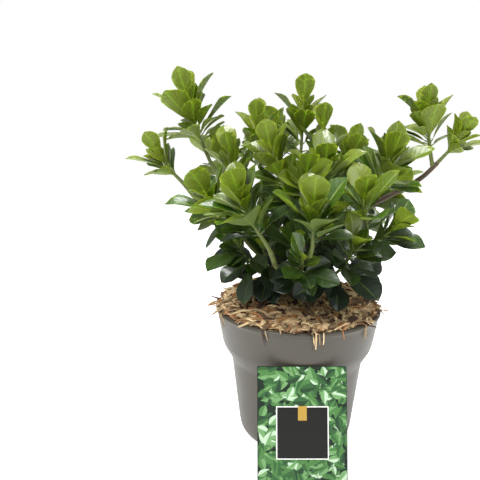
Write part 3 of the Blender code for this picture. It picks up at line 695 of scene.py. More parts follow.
def collar_strands(draw):
    """Thin strands that hang down the outside of the collar."""
    bearing = around(draw, COLLAR_STRANDS, 0.02)
    count = len(bearing)
    drop = draw.uniform(0.005, 0.016, count)
    height = POT_HEIGHT + 0.001 - drop / 2
    wall = np.interp(height, (COLLAR_LOW, POT_HEIGHT), (COLLAR_LOW_RADIUS, RIM_RADIUS)) + 0.0016
    middles = np.stack([wall * np.cos(bearing), wall * np.sin(bearing), height], axis=-1)
    slope = draw.uniform(2.5, 7.0, count)
    ways = bearing + math.pi + draw.normal(0, 0.9, count)
    width = draw.uniform(0.0005, 0.0014, count)
    return strips(draw, middles, ways, -slope, drop / slope, width, np.full(count, 0.0004))


class SPINDLE_OT_mulch(bpy.types.Operator):
    """Heaps the mulch and strews it with torn bark fibres, some of them over the rim"""

    bl_idname = "spindle.mulch"
    bl_label = "Mulch"

    def execute(self, context):
        sizes, colours = context.scene.spindle_sizes, context.scene.spindle_colours
        light, dark = tuple(colours.fibre_light), tuple(colours.fibre_dark)
        edge = inside_pot(MULCH_EDGE) - 2 * GAP
        floor = inside_pot(MULCH_FLOOR) - 2 * GAP
        radii = np.array([floor, edge, *(edge * np.linspace(0.98, 0.03, BED_RINGS))])
        rings = turned(np.stack([radii, np.full(len(radii), MULCH_FLOOR)], axis=-1), BED_SEGMENTS)
        x, y = rings[0, 1:, :, 0], rings[0, 1:, :, 1]
        crumbs = np.sin(900 * x + 3 * np.sin(700 * y)) * np.sin(850 * y + 3 * np.sin(640 * x))
        rings[0, 1:, :, 2] = mulch_height(x, y) + 0.0007 * crumbs - BED_SINK
        summit = float(mulch_height(0.0, 0.0)) - BED_SINK
        poles = np.array([[0, 0, MULCH_FLOOR]]), np.array([[0, 0, summit]])
        bed = earth_finish("mulch_crumbs", shaded(dark, 0.5), mixed(dark, light, 0.22), 520)
        add_lofts("mulch_bed", lofts(rings, *poles), [bed], ("mulch",))

        draw = np.random.default_rng(SEED)
        rings = strewn_strips(draw, sizes.fibres, sizes.fibre_length, edge)
        rings = np.concatenate([rings, rim_strips(draw), collar_strands(draw)])
        shares = (1.0, 0.78, 0.55, 0.36, 0.18, 0.0)
        looks = [fibre_finish(f"bark_fibre_{n}", mixed(dark, light, share)) for n, share in enumerate(shares)]
        looks.append(fibre_finish("bark_fibre_red", RED_FIBRE))
        tint = draw.choice(len(looks), len(rings), p=FIBRE_ODDS)[:, None, None]
        add_lofts("mulch_fibres", lofts(rings), looks, (), 40, [tint], [tint])
        return {"FINISHED"}


# Card

PRINT_DEPTH = 0.00035
PRINT_MARGIN = 0.0004
PRINT_TONES = (
    (0.014, 0.045, 0.018),
    (0.028, 0.095, 0.028),
    (0.060, 0.170, 0.045),
    (0.140, 0.290, 0.110),
    (0.420, 0.560, 0.400),
)

# The blank square in the card's axes, as left, right, low and high, with its border and tab
SQUARE = (-0.0215, 0.0217, -0.0757, -0.0326)
SQUARE_DEPTH = 0.00055
BORDER = 0.0009
TAB_WIDTH = 0.0072
TAB_LENGTH = 0.0115
PLATE_STEP = 0.00012


def card_frame():
    """The card's own axes: the middle of its top edge, and the ways across, up and out of its face."""
    share = (CARD_TOP - COLLAR_LOW) / (POT_HEIGHT - COLLAR_LOW)
    collar = COLLAR_LOW_RADIUS + share * (RIM_RADIUS - COLLAR_LOW_RADIUS)
    lean = math.acos(CARD_TOP / CARD_LENGTH)
    top = np.array([CARD_OFFSET, -collar - 2 * GAP, CARD_TOP + CARD_THICKNESS * math.sin(lean)])
    up = np.array([0.0, math.sin(lean), math.cos(lean)])
    out = np.array([0.0, -math.cos(lean), math.sin(lean)])
    return top, np.array([1.0, 0.0, 0.0]), up, out


def slab(left, right, low, high, back, front, corner):
    """A plate with rounded corners, in the card's axes: two equal rings, one at the back and one in front."""
    angles = np.arange(20) * math.tau / 20 + math.tau / 40
    x = np.sign(np.cos(angles)) * ((right - left) / 2 - corner) + corner * np.cos(angles) + (left + right) / 2
    y = np.sign(np.sin(angles)) * ((high - low) / 2 - corner) + corner * np.sin(angles) + (low + high) / 2
    rings = [np.stack([x, y, np.full(20, depth)], axis=-1) for depth in (back, front)]
    return np.stack(rings)[None]


def on_card(rings):
    """Rings in the card's axes carried to its place in front of the pot."""
    top, across, up, out = card_frame()
    return top + rings[..., :1] * across + rings[..., 1:2] * up + rings[..., 2:] * out


def leaf_arch(share):
    """Half a blade's width at a share of its length: a sine arch moved to LEAF_WIDEST, filled out by
    a root. Takes numbers or arrays."""
    skew = math.log(0.5) / math.log(LEAF_WIDEST)
    return np.maximum(np.sin(np.pi * share**skew), 0.0) ** 0.72


def print_shape(draw, count):
    """The card's printed leaves: four-cornered sections with the outline of leaf_arch, carried along
    straight spines in random places and turns, each a little further out than the last, and clipped at
    the card's edges."""
    half = CARD_WIDTH / 2
    length = draw.uniform(0.008, 0.0145, count)
    turn = draw.uniform(0, math.tau, count)
    x = draw.uniform(-1, 1, count) * (half - length * 0.12)
    y = -CARD_LENGTH / 2 + draw.uniform(-1, 1, count) * (CARD_LENGTH / 2 - length * 0.12)
    share = np.linspace(0.04, 0.96, 7)
    flat = np.zeros(count)
    heading = np.stack([np.cos(turn), np.sin(turn), flat], axis=-1)
    side = np.stack([-np.sin(turn), np.cos(turn), flat], axis=-1)
    level = CARD_THICKNESS + 0.00004 + np.arange(count)[:, None] * (PRINT_DEPTH / count)
    run = (share - 0.5) * length[:, None]
    span = leaf_arch(share) * 0.26 * length[:, None]
    spine = np.stack([x, y, flat], axis=-1)[:, None] + heading[:, None] * run[..., None]
    depth = np.broadcast_to(level, run.shape)[..., None] * np.array([0.0, 0.0, 1.0])
    edge = side[:, None] * span[..., None]
    ridge = np.array([0.0, 0.0, 0.00006])
    sections = [spine - edge + depth, spine + depth - ridge, spine + edge + depth, spine + depth + ridge]
    rings = np.stack(sections, axis=2)
    ends = [
        spine[:, end] + heading * (length * stretch)[:, None] + depth[:, end]
        for end, stretch in ((0, -0.05), (-1, 0.05))
    ]
    for points in (rings, *ends):
        points[..., 0] = np.clip(points[..., 0], PRINT_MARGIN - half, half - PRINT_MARGIN)
        points[..., 1] = np.clip(points[..., 1], PRINT_MARGIN - CARD_LENGTH, -PRINT_MARGIN)
    return lofts(on_card(rings), on_card(ends[0]), on_card(ends[1]))


class SPINDLE_OT_card(bpy.types.Operator):
    """Makes the card with a generic print of leaves, a blank dark square and a gold tab"""

    bl_idname = "spindle.card"
    bl_label = "Card"

    def execute(self, context):
        colours = context.scene.spindle_colours
        half, face = CARD_WIDTH / 2, CARD_THICKNESS
        sheet = lofts(on_card(slab(-half, half, -CARD_LENGTH, 0, 0.0, face, 0.0012)))
        ground = print_finish("card_ground", tuple(colours.card_ink))
        add_lofts("card_sheet", sheet, [ground], ("card",), 40)

        draw = np.random.default_rng(SEED + 1)
        count = context.scene.spindle_sizes.print_leaves
        shape = print_shape(draw, count)
        looks = [print_finish(f"card_leaf_{n}", tone) for n, tone in enumerate(PRINT_TONES)]
        tint = draw.choice(4, count, p=(0.18, 0.28, 0.31, 0.23))[:, None, None]
        halves = tint + np.array([0, 0, 0, 1])
        add_lofts("card_print", shape, looks, (), 30, [halves], [tint])

        left, right, low, high = SQUARE
        middle = (left + right) / 2
        plates = (
            (left, right, low, high, 0.0005),
            (left + BORDER, right - BORDER, low + BORDER, high - BORDER, 0.0004),
            (middle - TAB_WIDTH / 2, middle + TAB_WIDTH / 2, high - TAB_LENGTH, high + 0.0002, 0.0004),
        )
        shapes = [
            lofts(on_card(slab(*edges, face, face + SQUARE_DEPTH + step * PLATE_STEP, corner)))
            for step, (*edges, corner) in enumerate(plates)
        ]
        looks = [
            print_finish("card_white", (0.78, 0.78, 0.74)),
            print_finish("card_black", (0.005, 0.0045, 0.004)),
            print_finish("card_gold", tuple(colours.card_gold), 0.55),
        ]
        add_lofts("card_panel", shapes, looks, (), 30, [0, 1, 2], [0, 1, 2])
        return {"FINISHED"}


# Limbs, by the same rule as the solids

def path_of(start, start_way, end, end_way, count):
    """Points along a cubic Hermite curve, whose end tangents have the chord's length."""
    reach = (end - start).length
    leave, arrive = start_way.normalized() * reach, end_way.normalized() * reach
    points = []
    for step in range(count + 1):
        t = step / count
        points.append(
            start * (2 * t**3 - 3 * t**2 + 1)
            + leave * (t**3 - 2 * t**2 + t)
            + end * (-2 * t**3 + 3 * t**2)
            + arrive * (t**3 - t**2)
        )
    return points


def point_along(limb, share):
    """(point, direction, radius) at a share of the way along a limb."""
    points, radii = limb
    place = min(share, 0.9999) * (len(points) - 1)
    index = int(place)
    within = place - index
    way = (points[index + 1] - points[index]).normalized()
    if share >= 1.0:
        return points[-1], way, radii[-1]
    radius = radii[index] + (radii[index + 1] - radii[index]) * within
    return points[index] + (points[index + 1] - points[index]) * within, way, radius


def tapering(foot_radius, tip_radius, count):
    """Radii from foot to tip in equal steps."""
    return [foot_radius + (tip_radius - foot_radius) * step / count for step in range(count + 1)]


def stem_limb(foot, tip, foot_radius, tip_radius, count=7):
    """A main stem, upright at its flat foot, which flares where it enters the mulch."""
    ground = max(
        float(mulch_height(foot[0] + STEM_REACH * math.cos(a), foot[1] + STEM_REACH * math.sin(a)))
        for a in range(6)
    )
    start = Vector((*foot, ground + GAP))
    above = start + Vector((0, 0, STEM_SINK))
    tip = Vector(tip)
    points = path_of(above, Vector((0, 0, 1)), tip, tip - start + Vector((0, 0, 0.03)), count)
    radii = tapering(foot_radius, tip_radius, count)
    collar = start + (above - start) * 0.4
    return [start, collar, *points], [foot_radius * STEM_FLARE, foot_radius * 1.1, *radii]


def side_limb(carrier, share, tip, lift, foot_radius, tip_radius, count):
    """A limb that leaves its carrier, clear of it by the gap, and bends upwards by lift."""
    origin, way, radius = point_along(carrier, share)
    tip = Vector(tip)
    aim = (tip - origin).normalized()
    tip_way = aim + Vector((0, 0, lift))
    if share >= 1.0:
        leave = (way + aim).normalized()
        turn = math.sin(way.angle(leave))
        start = origin + leave * (GAP + foot_radius * turn + 0.0001)
    else:
        out = (aim - way * aim.dot(way)).normalized()
        leave = (out * 0.9 + way * 0.6).normalized()
        lean = math.sqrt(max(0.0, 1.0 - leave.dot(out) ** 2))
        start = origin + out * (radius + GAP * 1.5 + foot_radius * lean)
    points = path_of(start, leave, tip, tip_way, count)
    return points, tapering(foot_radius, tip_radius, count)


def grow_limbs():
    """Every stem, bough and shoot twig, as {name: (points, radii)}."""
    limbs = {}
    for name, (foot, tip, foot_radius, tip_radius) in STEMS.items():
        limbs[name] = stem_limb(foot, tip, foot_radius, tip_radius)
    for name, (carrier, share, tip, foot_radius, tip_radius) in BOUGHS.items():
        limbs[name] = side_limb(limbs[carrier], share, tip, 0.5, foot_radius, tip_radius, 6)
    for name, (carrier, share, tip, *_) in SHOOTS.items():
        limbs[name] = side_limb(limbs[carrier], share, tip, 0.7, TWIG_FOOT_RADIUS, TWIG_TIP_RADIUS, 6)
    return limbs


def limb_rings(limb, sides, relief, seed):
    """A limb's bark as [1, ring, corner]: a smooth line through its points by Catmull-Rom, ringed by
    circles whose radius carries long ridges, small lumps and the swelling of old leaf joints."""
    points = np.array([tuple(point) for point in limb[0]])
    points = np.concatenate([points[:1] - unit(points[1:2] - points[:1]) * LIMB_SINK, points])
    radii = np.array([limb[1][0] * 1.2, *limb[1]])
    padded = np.concatenate([2 * points[:1] - points[1:2], points, 2 * points[-1:] - points[-2:-1]])
    t = np.linspace(0, len(points) - 1, (len(points) - 1) * FINE + 1)
    index = np.minimum(t.astype(int), len(points) - 2)
    u = (t - index)[:, None]
    p0, p1, p2, p3 = (padded[index + shift] for shift in range(4))
    line = 0.5 * (2 * p1 + (p2 - p0) * u + (2 * p0 - 5 * p1 + 4 * p2 - p3) * u**2
                  + (3 * p1 - p0 - 3 * p2 + p3) * u**3)
    radius = np.interp(t, np.arange(len(points)), radii)
    way = unit(np.gradient(line, axis=0))
    side = unit(np.cross(way, (0.35, -0.9, 0.2)))
    up = np.cross(side, way)
    angles = np.linspace(0, math.tau, sides, endpoint=False)[None]
    along = t[:, None]
    ridges = np.sin(3 * angles + 0.8 * along + seed) * 0.5 + np.sin(5 * angles - 1.7 * along + 2 * seed) * 0.3
    joints = np.maximum(0.0, np.cos(math.pi * (along + 0.31 * seed))) ** 8
    size = radius[:, None] * (1 + relief * ridges + 1.4 * relief * joints)
    ring = side[:, None] * np.cos(angles)[..., None] + up[:, None] * np.sin(angles)[..., None]
    return (line[:, None] + ring * size[..., None])[None]


# Leaves, whose places follow the same rule as the solids

def leaf_solid(leaf, room=0.0, whole=True):
    """(points, faces) of the plain leaf that the rule tests for room: four-cornered sections from
    its root to a point. room swells it, and without whole its stalk is left out."""
    blade = leaf["length"] * (1 - PETIOLE_LENGTH)
    half = leaf["length"] * LEAF_WIDTH * leaf["broad"] / 2
    way, normal = leaf["way"], leaf["normal"]
    side = way.cross(normal)
    base = leaf["root"] + way * leaf["length"] * PETIOLE_LENGTH
    sections = []
    if whole:
        sections.append((leaf["root"], way, normal, PETIOLE_RADIUS, 2 * PETIOLE_RADIUS, 0.0))
    sections.append((base, way, normal, PETIOLE_RADIUS, 2 * PETIOLE_RADIUS, 0.0))
    point, done = base, 0.0
    for share in (*LEAF_STATIONS, 1.0):
        middle = leaf["curl"] * (done + share) / 2
        point = point + (way * math.cos(middle) - normal * math.sin(middle)) * blade * (share - done)
        bend = leaf["curl"] * share
        up = normal * math.cos(bend) + way * math.sin(bend)
        along = way * math.cos(bend) - normal * math.sin(bend)
        if share < 1.0:
            sections.append((point, along, up, half * float(leaf_arch(share)), LEAF_THICKNESS, LEAF_FOLD))
        done = share
    points, faces = [], []
    for centre, _, up, width, thick, fold in sections:
        raised = up * (width * math.tan(fold))
        reach = side * (width + room)
        lift = up * (thick / 2 + room)
        points += [centre - reach + raised, centre + lift, centre + reach + raised, centre - lift]
    for ring in range(len(sections) - 1):
        for corner in range(4):
            following = (corner + 1) % 4
            low, high = ring * 4, ring * 4 + 4
            faces.append((low + corner, low + following, high + following, high + corner))
    tip = len(points)
    points.append(point + along * room)
    last = tip - 4
    faces += [(last + corner, last + (corner + 1) % 4, tip) for corner in range(4)]
    faces.append((3, 2, 1, 0))
    return points, faces


def leaf_on(twig, place, turn, angle, length, broad, curl, age):
    """A leaf at a share of a twig's length: turn is its bearing round the twig, from the front, and
    angle its lean away from the twig. Its upper side faces the twig's tip."""
    point, way, _ = point_along(twig, place)
    front = Vector((0, -1, 0))
    front = (front - way * front.dot(way)).normalized()
    across = way.cross(front)
    out = front * math.cos(turn) + across * math.sin(turn)
    leaf_way = way * math.cos(angle) + out * math.sin(angle)
    normal = (way - leaf_way * way.dot(leaf_way)).normalized()
    return {
        "root": point,
        "way": leaf_way,
        "normal": normal,
        "length": length,
        "broad": broad,
        "curl": curl,
        "age": age,
    }


def leaf_choices(shoot_number, rank, side, twig, shoot):
    """The places that a leaf is tried in, in order, each further from the rule than the last.

    A pair's rank counts from the tip. A whole rank is a pair of the solids, and one with a part is a
    pair of the small leaves between them."""
    whole = int(rank)
    draw = random.Random(SEED * 100000 + shoot_number * 1000 + whole * 10 + side + round(rank % 1 * 10))
    small = 1.0 if rank == whole else 0.80
    turn = math.radians(shoot.turn + 90 * rank + 180 * side) + draw.gauss(0, 0.16)
    angle = math.radians(min(82.0, (16 + 15 * rank) * shoot.spread)) + draw.gauss(0, 0.10)
    size = small * shoot.length * PAIR_LENGTHS[min(whole, 5)] * draw.uniform(0.90, 1.10)
    broad = draw.uniform(0.88, 1.12)
    curl = LEAF_RECURVE * draw.uniform(0.4, 1.5)
    place = 1.0 - 0.66 * (rank / max(1, shoot.pairs)) ** 0.9 - 0.004
    for attempt in range(TRIES):
        stray = attempt / TRIES
        yield leaf_on(
            twig,
            place,
            turn + draw.uniform(-1, 1) * 0.9 * stray,
            max(0.12, angle + draw.uniform(-1, 0.5) * 0.7 * stray),
            size * (1 - 0.28 * stray),
            broad,
            curl,
            rank,
        )


def bud_choices(shoot_number, rank, side, twig, shoot):
    """The small, upright, half-open leaves at a shoot's tip."""
    draw = random.Random(SEED * 700000 + shoot_number * 100 + rank * 10 + side)
    turn = math.radians(shoot.turn + 90 + 90 * rank + 180 * side) + draw.gauss(0, 0.2)
    size = shoot.length * (0.52 - 0.16 * rank) * draw.uniform(0.85, 1.15)
    for attempt in range(4):
        angle = 0.20 - 0.06 * rank + draw.uniform(-0.05, 0.12)
        yield leaf_on(twig, 0.99, turn + attempt * 0.35, angle, size * (1 - 0.1 * attempt), 0.72, 0.25, -1)


def in_the_open(points):
    """True if no point is in the mulch, in the pot or under its rim."""
    for point in points:
        out = math.hypot(point.x, point.y)
        if out < RIM_RADIUS + 0.003:
            floor = max(float(mulch_height(point.x, point.y)), POT_HEIGHT if out > 0.068 else 0.0)
            if point.z < floor + 0.002:
                return False
        elif point.z < COLLAR_LOW:
            return False
    return True


def limb_tree(limb):
    """A search tree of a limb's surface, as a four-sided tube."""
    points, radii = limb
    corners, faces = [], []
    for index, (point, radius) in enumerate(zip(points, radii)):
        ahead = points[min(index + 1, len(points) - 1)] - points[max(index - 1, 0)]
        turn = ahead.to_track_quat("Z", "Y")
        for quarter in range(4):
            corner = Vector((radius, 0, 0))
            corner.rotate(Matrix.Rotation(math.radians(90 * quarter), 3, "Z"))
            corners.append(point + turn @ corner)
    for ring in range(len(points) - 1):
        for corner in range(4):
            low, following = ring * 4 + corner, ring * 4 + (corner + 1) % 4
            faces.append((low, following, following + 4, low + 4))
    return BVHTree.FromPolygons(corners, faces)


def middle_of(points):
    """(centre, radius) of a ball that holds the points."""
    centre = sum(points, Vector()) / len(points)
    return centre, max((point - centre).length for point in points)


class Thicket:
    """The leaves placed so far, and the limbs, kept as search trees to test a new leaf against."""

    def __init__(self, limbs):
        self.trees = {name: limb_tree(limb) for name, limb in limbs.items()}
        self.balls = {name: middle_of(limb[0]) for name, limb in limbs.items()}
        self.leaves = []
        self.grown = {name: [] for name in SHOOTS}

    def place(self, name, choices, room):
        """Puts a leaf of the named shoot in the first of the places that is free with room, if one is."""
        for leaf in choices:
            points, faces = leaf_solid(leaf, room)
            if not in_the_open(points[4:]):
                continue
            whole = BVHTree.FromPolygons(points, faces)
            blade = BVHTree.FromPolygons(*leaf_solid(leaf, room, whole=False))
            centre, reach = middle_of(points)
            if self.meets_limb(name, centre, reach, whole):
                continue
            if self.meets_leaf(name, centre, reach, whole, blade):
                continue
            solid = BVHTree.FromPolygons(*leaf_solid(leaf))
            bare = BVHTree.FromPolygons(*leaf_solid(leaf, whole=False))
            self.leaves.append((name, centre, reach, solid, bare))
            self.grown[name].append(leaf)
            return

    def meets_limb(self, name, centre, reach, whole):
        """True if the leaf touches a limb other than the twig that it grows on."""
        for limb, tree in self.trees.items():
            middle, size = self.balls[limb]
            if limb == name or (middle - centre).length > size + reach + 0.004:
                continue
            if whole.overlap(tree):
                return True
        return False

    def meets_leaf(self, name, centre, reach, whole, blade):
        """True if the leaf touches one that has been placed. Stalks on one twig may meet in it."""
        for other, middle, size, solid, bare in self.leaves:
            if (middle - centre).length > size + reach:
                continue
            if other == name:
                if blade.overlap(solid) or whole.overlap(bare):
                    return True
            elif whole.overlap(solid):
                return True
        return False


def grow_leaves(limbs):
    """{shoot name: [leaf, ...]}: the solids' pairs by rank, then the buds and the leaves between."""
    thicket = Thicket(limbs)

    def add_pairs(part, room):
        """Tries a pair at each whole rank of each shoot, moved on by part of a rank."""
        for rank in range(max(shoot.pairs for shoot in SHOOTS.values())):
            for number, (name, shoot) in enumerate(SHOOTS.items()):
                if rank < shoot.pairs:
                    for side in (0, 1):
                        choices = leaf_choices(number, rank + part, side, limbs[name], shoot)
                        thicket.place(name, choices, room)

    add_pairs(0, LEAF_ROOM)
    for number, (name, shoot) in enumerate(SHOOTS.items()):
        for rank in (0, 1):
            for side in (0, 1):
                thicket.place(name, bud_choices(number, rank, side, limbs[name], shoot), 0.0)
    for part in (0.5, 0.75, 0.25):
        add_pairs(part, SMALL_LEAF_ROOM)
    return thicket.grown


# Seven corners of a leaf's section: the share of half its width, 1 on the upper side or 0 below, and
# the finish of the strip that runs up to the next corner
BLADE, RIB, UNDERSIDE = 0, 1, 2
SECTION = np.array([
    (-1.0, 1, BLADE),
    (-0.52, 1, BLADE),
    (-0.055, 1, RIB),
    (0.055, 1, BLADE),
    (0.52, 1, BLADE),
    (1.0, 1, UNDERSIDE),
    (0.0, 0, UNDERSIDE),
])

# The rings of a leaf's stalk: (place, from -1 at its root to 0 at the blade, and share of its radius)
STALK = np.array([(-1.0, 1.0), (-0.45, 0.75), (0.0, 0.85)])
BLADE_ROWS = 10
MIDRIB_SINK = 0.00035
FINE_WIDEST = 0.55

# A leaf's youth runs from 0 at OLD_HEIGHT up over YOUNG_RISE, and decides which piece it is in
OLD_HEIGHT = 0.185
YOUNG_RISE = 0.095
YOUTH_SPLIT = 0.38
OLD_SHOOT_HEIGHT = 0.215


def leaf_outline(share):
    """Half the fine blade's width at a share of its length: a sine arch, widest a little past the
    middle, whose power grows along the blade, so that the base is full and the tip pointed."""
    skew = math.log(0.5) / math.log(FINE_WIDEST)
    return 0.93 * np.maximum(np.sin(np.pi * share**skew), 0.0) ** (0.74 + 0.22 * share)


def leaf_rings(leaves, sizes, phases):
    """(rings, tips, places on the leaf) of all the leaves at once.

    With s along the blade and v across it, the midrib is an arc that turns by the leaf's curl, and a
    point lies off it by v times the half width across, and up by a folded V that bulges between midrib
    and margin, a wave along the margin and a ridge on each second row. Rows lean forwards to the
    margin as side veins do, and each second one ends in a tooth."""
    root, way, normal = (
        np.array([tuple(leaf[key]) for leaf in leaves]) for key in ("root", "way", "normal")
    )
    length, broad, curl = (
        np.array([leaf[key] for leaf in leaves])[:, None, None] for key in ("length", "broad", "curl")
    )
    curl = curl * STRAIGHTER
    side = np.cross(way, normal)
    across, upper = SECTION[:, 0], SECTION[:, 1]
    away = np.abs(across)
    rows = (1 - (1 - np.linspace(0.02, 0.965, BLADE_ROWS)) ** 1.25)[:, None]
    odd = (np.arange(BLADE_ROWS) % 2)[:, None]
    share = rows + 0.085 * away * np.sin(math.pi * rows)
    tooth = 1 - sizes.tooth * (1 - odd) * (away > 0.9)
    half = length * LEAF_WIDTH * broad / 2
    offset = half * leaf_outline(rows) * across * tooth
    rise = np.abs(offset) * math.tan(LEAF_FOLD) * (1 + 0.75 * (1 - away))
    rise = rise + 0.05 * half * away**3 * np.sin(9 * rows + phases[:, None, None])
    rise = rise + sizes.vein * (odd * 2 - 1) * ((away > 0.1) & (away < 0.9))
    rise = rise - MIDRIB_SINK * ((away < 0.1) & (upper > 0))
    rise = rise - (1 - upper) * sizes.blade
    turned_by = curl * share
    blade = length * (1 - PETIOLE_LENGTH)
    forward = blade * np.sin(turned_by) / curl + rise * np.sin(turned_by)
    lifted = -blade * (1 - np.cos(turned_by)) / curl + rise * np.cos(turned_by)
    base = root + way * (length[:, 0] * PETIOLE_LENGTH)

    def carried(along, over, up):
        """Points at these distances along each leaf from its base, over to its side and up from it."""
        return (
            base[:, None, None]
            + way[:, None, None] * along[..., None]
            + side[:, None, None] * over[..., None]
            + normal[:, None, None] * up[..., None]
        )

    blades = carried(forward, offset, lifted)
    corners = np.linspace(0, math.tau, len(SECTION), endpoint=False) + math.radians(200)
    thick = PETIOLE_RADIUS * STALK[:, 1:]
    stalk = STALK[:, :1] * length * PETIOLE_LENGTH
    stalks = carried(stalk, thick * np.cos(corners), -thick * np.sin(corners))
    tips = carried(blade * np.sin(curl) / curl, np.zeros_like(curl), -blade * (1 - np.cos(curl)) / curl)
    spots = np.stack(np.broadcast_arrays(0.5 + 0.5 * across, share), axis=-1)
    spots = np.concatenate([np.broadcast_to((0.5, 0.0), (len(STALK), len(SECTION), 2)), spots])
    ends = np.repeat([[0.5, 0.0], [0.5, 1.0]], len(leaves), axis=0)
    spots = np.concatenate([np.tile(spots.reshape(-1, 2), (len(leaves), 1)), ends])
    return np.concatenate([stalks, blades], axis=1), tips[:, 0, 0], spots


def youth_of(leaf, draw):
    """From 0 for an old dark leaf to 1 for a fresh one: it rises with the height of the leaf's root,
    falls with its rank from the tip, and strays by chance."""
    height = (leaf["root"].z - OLD_HEIGHT) / YOUNG_RISE
    return height * 0.75 + 0.42 - 0.15 * leaf["age"] + draw.normal(0, 0.10)


class SPINDLE_OT_limbs(bpy.types.Operator):
    """Gives the stems, boughs and twigs their bark"""

    bl_idname = "spindle.limbs"
    bl_label = "Limbs"

    def execute(self, context):
        colours = context.scene.spindle_colours
        green, brown = tuple(colours.bark_green), tuple(colours.bark_brown)
        limbs = grow_limbs()
        groups = (
            ("stem_bark", list(STEMS), 14, 0.07, 0.16, tuple(STEMS)),
            ("bough_bark", list(BOUGHS), 12, 0.06, 0.02, tuple(BOUGHS)),
            ("twig_bark", list(SHOOTS), 8, 0.04, -0.20, ()),
        )
        for name, members, sides, relief, old, replaced in groups:
            shapes = [lofts(limb_rings(limbs[member], sides, relief, n)) for n, member in enumerate(members)]
            looks = [bark_finish(f"{name}_{tone}", green, brown, age)
                     for tone, age in (("green", old), ("brown", old + 0.35))]
            tones = [int(member in BROWN_LIMBS) for member in members]
            add_lofts(name, shapes, looks, replaced, 60, tones, tones)
        return {"FINISHED"}


class SPINDLE_OT_foliage(bpy.types.Operator):
    """Grows the leaves: fresh and ripe ones in one piece, old dark ones in another"""

    bl_idname = "spindle.foliage"
    bl_label = "Foliage"

    def execute(self, context):
        sizes, colours = context.scene.spindle_sizes, context.scene.spindle_colours
        fresh, ripe, old = tuple(colours.leaf_fresh), tuple(colours.leaf_ripe), tuple(colours.leaf_old)
        draw = np.random.default_rng(SEED + 2)
        young, mature = [], []
        for leaves in grow_leaves(grow_limbs()).values():
            for leaf in leaves:
                youth = youth_of(leaf, draw)
                (young if youth > YOUTH_SPLIT else mature).append((leaf, youth))
        old_nodes = [name for name, shoot in SHOOTS.items() if shoot.tip[2] < OLD_SHOOT_HEIGHT]
        new_nodes = [name for name in SHOOTS if name not in old_nodes]
        # Both lists end with the finishes of the underside and of the rib and stalk
        pale = shaded(mixed(ripe, fresh, 0.75), 1.05)
        greens = [mixed(ripe, fresh, step / 5) for step in range(6)]
        bright = [leaf_finish(f"leaf_fresh_{n}", green, 0.55, 0.25, 0.16) for n, green in enumerate(greens)]
        bright.append(leaf_finish("leaf_fresh_under", pale, 0.03, 0.30, 0.42, 1.0))
        bright.append(leaf_finish("leaf_fresh_rib", (0.200, 0.270, 0.060), 0.10, 0.20))
        dull = mixed(ripe, (0.080, 0.110, 0.018), 0.7)
        greens = [mixed(old, ripe, step / 3 * 0.62) for step in range(4)]
        dim = [leaf_finish(f"leaf_old_{n}", green, 0.50, 0.04, 0.10) for n, green in enumerate(greens)]
        dim.append(leaf_finish("leaf_old_under", dull, 0.03, 0.08, 0.30, 1.0))
        dim.append(leaf_finish("leaf_old_rib", (0.050, 0.090, 0.025), 0.20, 0.05))
        for name, some, looks, span, nodes in (
            ("foliage_young", young, bright, (YOUTH_SPLIT, 1.05), new_nodes),
            ("foliage_mature", mature, dim, (-0.25, YOUTH_SPLIT), old_nodes),
        ):
            under, rib = len(looks) - 2, len(looks) - 1
            youth = np.array([value for _, value in some])
            level = (youth - span[0]) / (span[1] - span[0]) * under + draw.normal(0, 0.55, len(some))
            tint = np.clip(level.astype(int), 0, under - 1)[:, None]
            phases = draw.uniform(0, math.tau, len(some))
            rings, tips, spots = leaf_rings([leaf for leaf, _ in some], sizes, phases)
            upper = np.where(SECTION[:, 2] == RIB, rib, tint)
            section = np.where(SECTION[:, 2] == UNDERSIDE, under, upper)
            quads = np.repeat(section[:, None], rings.shape[1] - 1, axis=1)
            quads[:, :len(STALK) - 1] = rib
            fans = np.stack([np.full_like(section, rib), upper], axis=1)
            add_lofts(name, lofts(rings, None, tips), looks, nodes, 55, [quads], [fans], spots)
        return {"FINISHED"}


# Stage

FLOOR_RADIUS = 8.0
WHITE = (1.0, 1.0, 1.0, 1.0)
CAMERA_PLACE = (-0.0546, -0.4568, 0.2828)
CAMERA_TILT = math.radians(78.383)
CAMERA_LENS = 37.46
LAMP_AIM = (0.0, 0.0, 0.17)

# Each lamp's place, size and power in watts
LAMPS = (
    ("key_light", (-0.55, -0.75, 1.25), 0.55, 21.0),
    ("fill_light", (0.9, -0.6, 0.9), 0.7, 5.0),
    ("top_light", (0.1, 0.25, 1.5), 0.6, 14.0),
)


def white_room(strength):
    """A world that lights the plant softly and is plain white behind it."""
    world = bpy.data.worlds.new("studio")
    world.use_nodes = True
    tree = world.node_tree
    room = tree.nodes["Background"]
    room.inputs["Color"].default_value = WHITE
    room.inputs["Strength"].default_value = strength
    white = tree.nodes.new("ShaderNodeBackground")
    white.inputs["Color"].default_value = WHITE
    seen = tree.nodes.new("ShaderNodeLightPath")
    choice = tree.nodes.new("ShaderNodeMixShader")
    tree.links.new(seen.outputs["Is Camera Ray"], choice.inputs[0])
    tree.links.new(room.outputs[0], choice.inputs[1])
    tree.links.new(white.outputs[0], choice.inputs[2])
    tree.links.new(choice.outputs[0], tree.nodes["World Output"].inputs["Surface"])
    return world


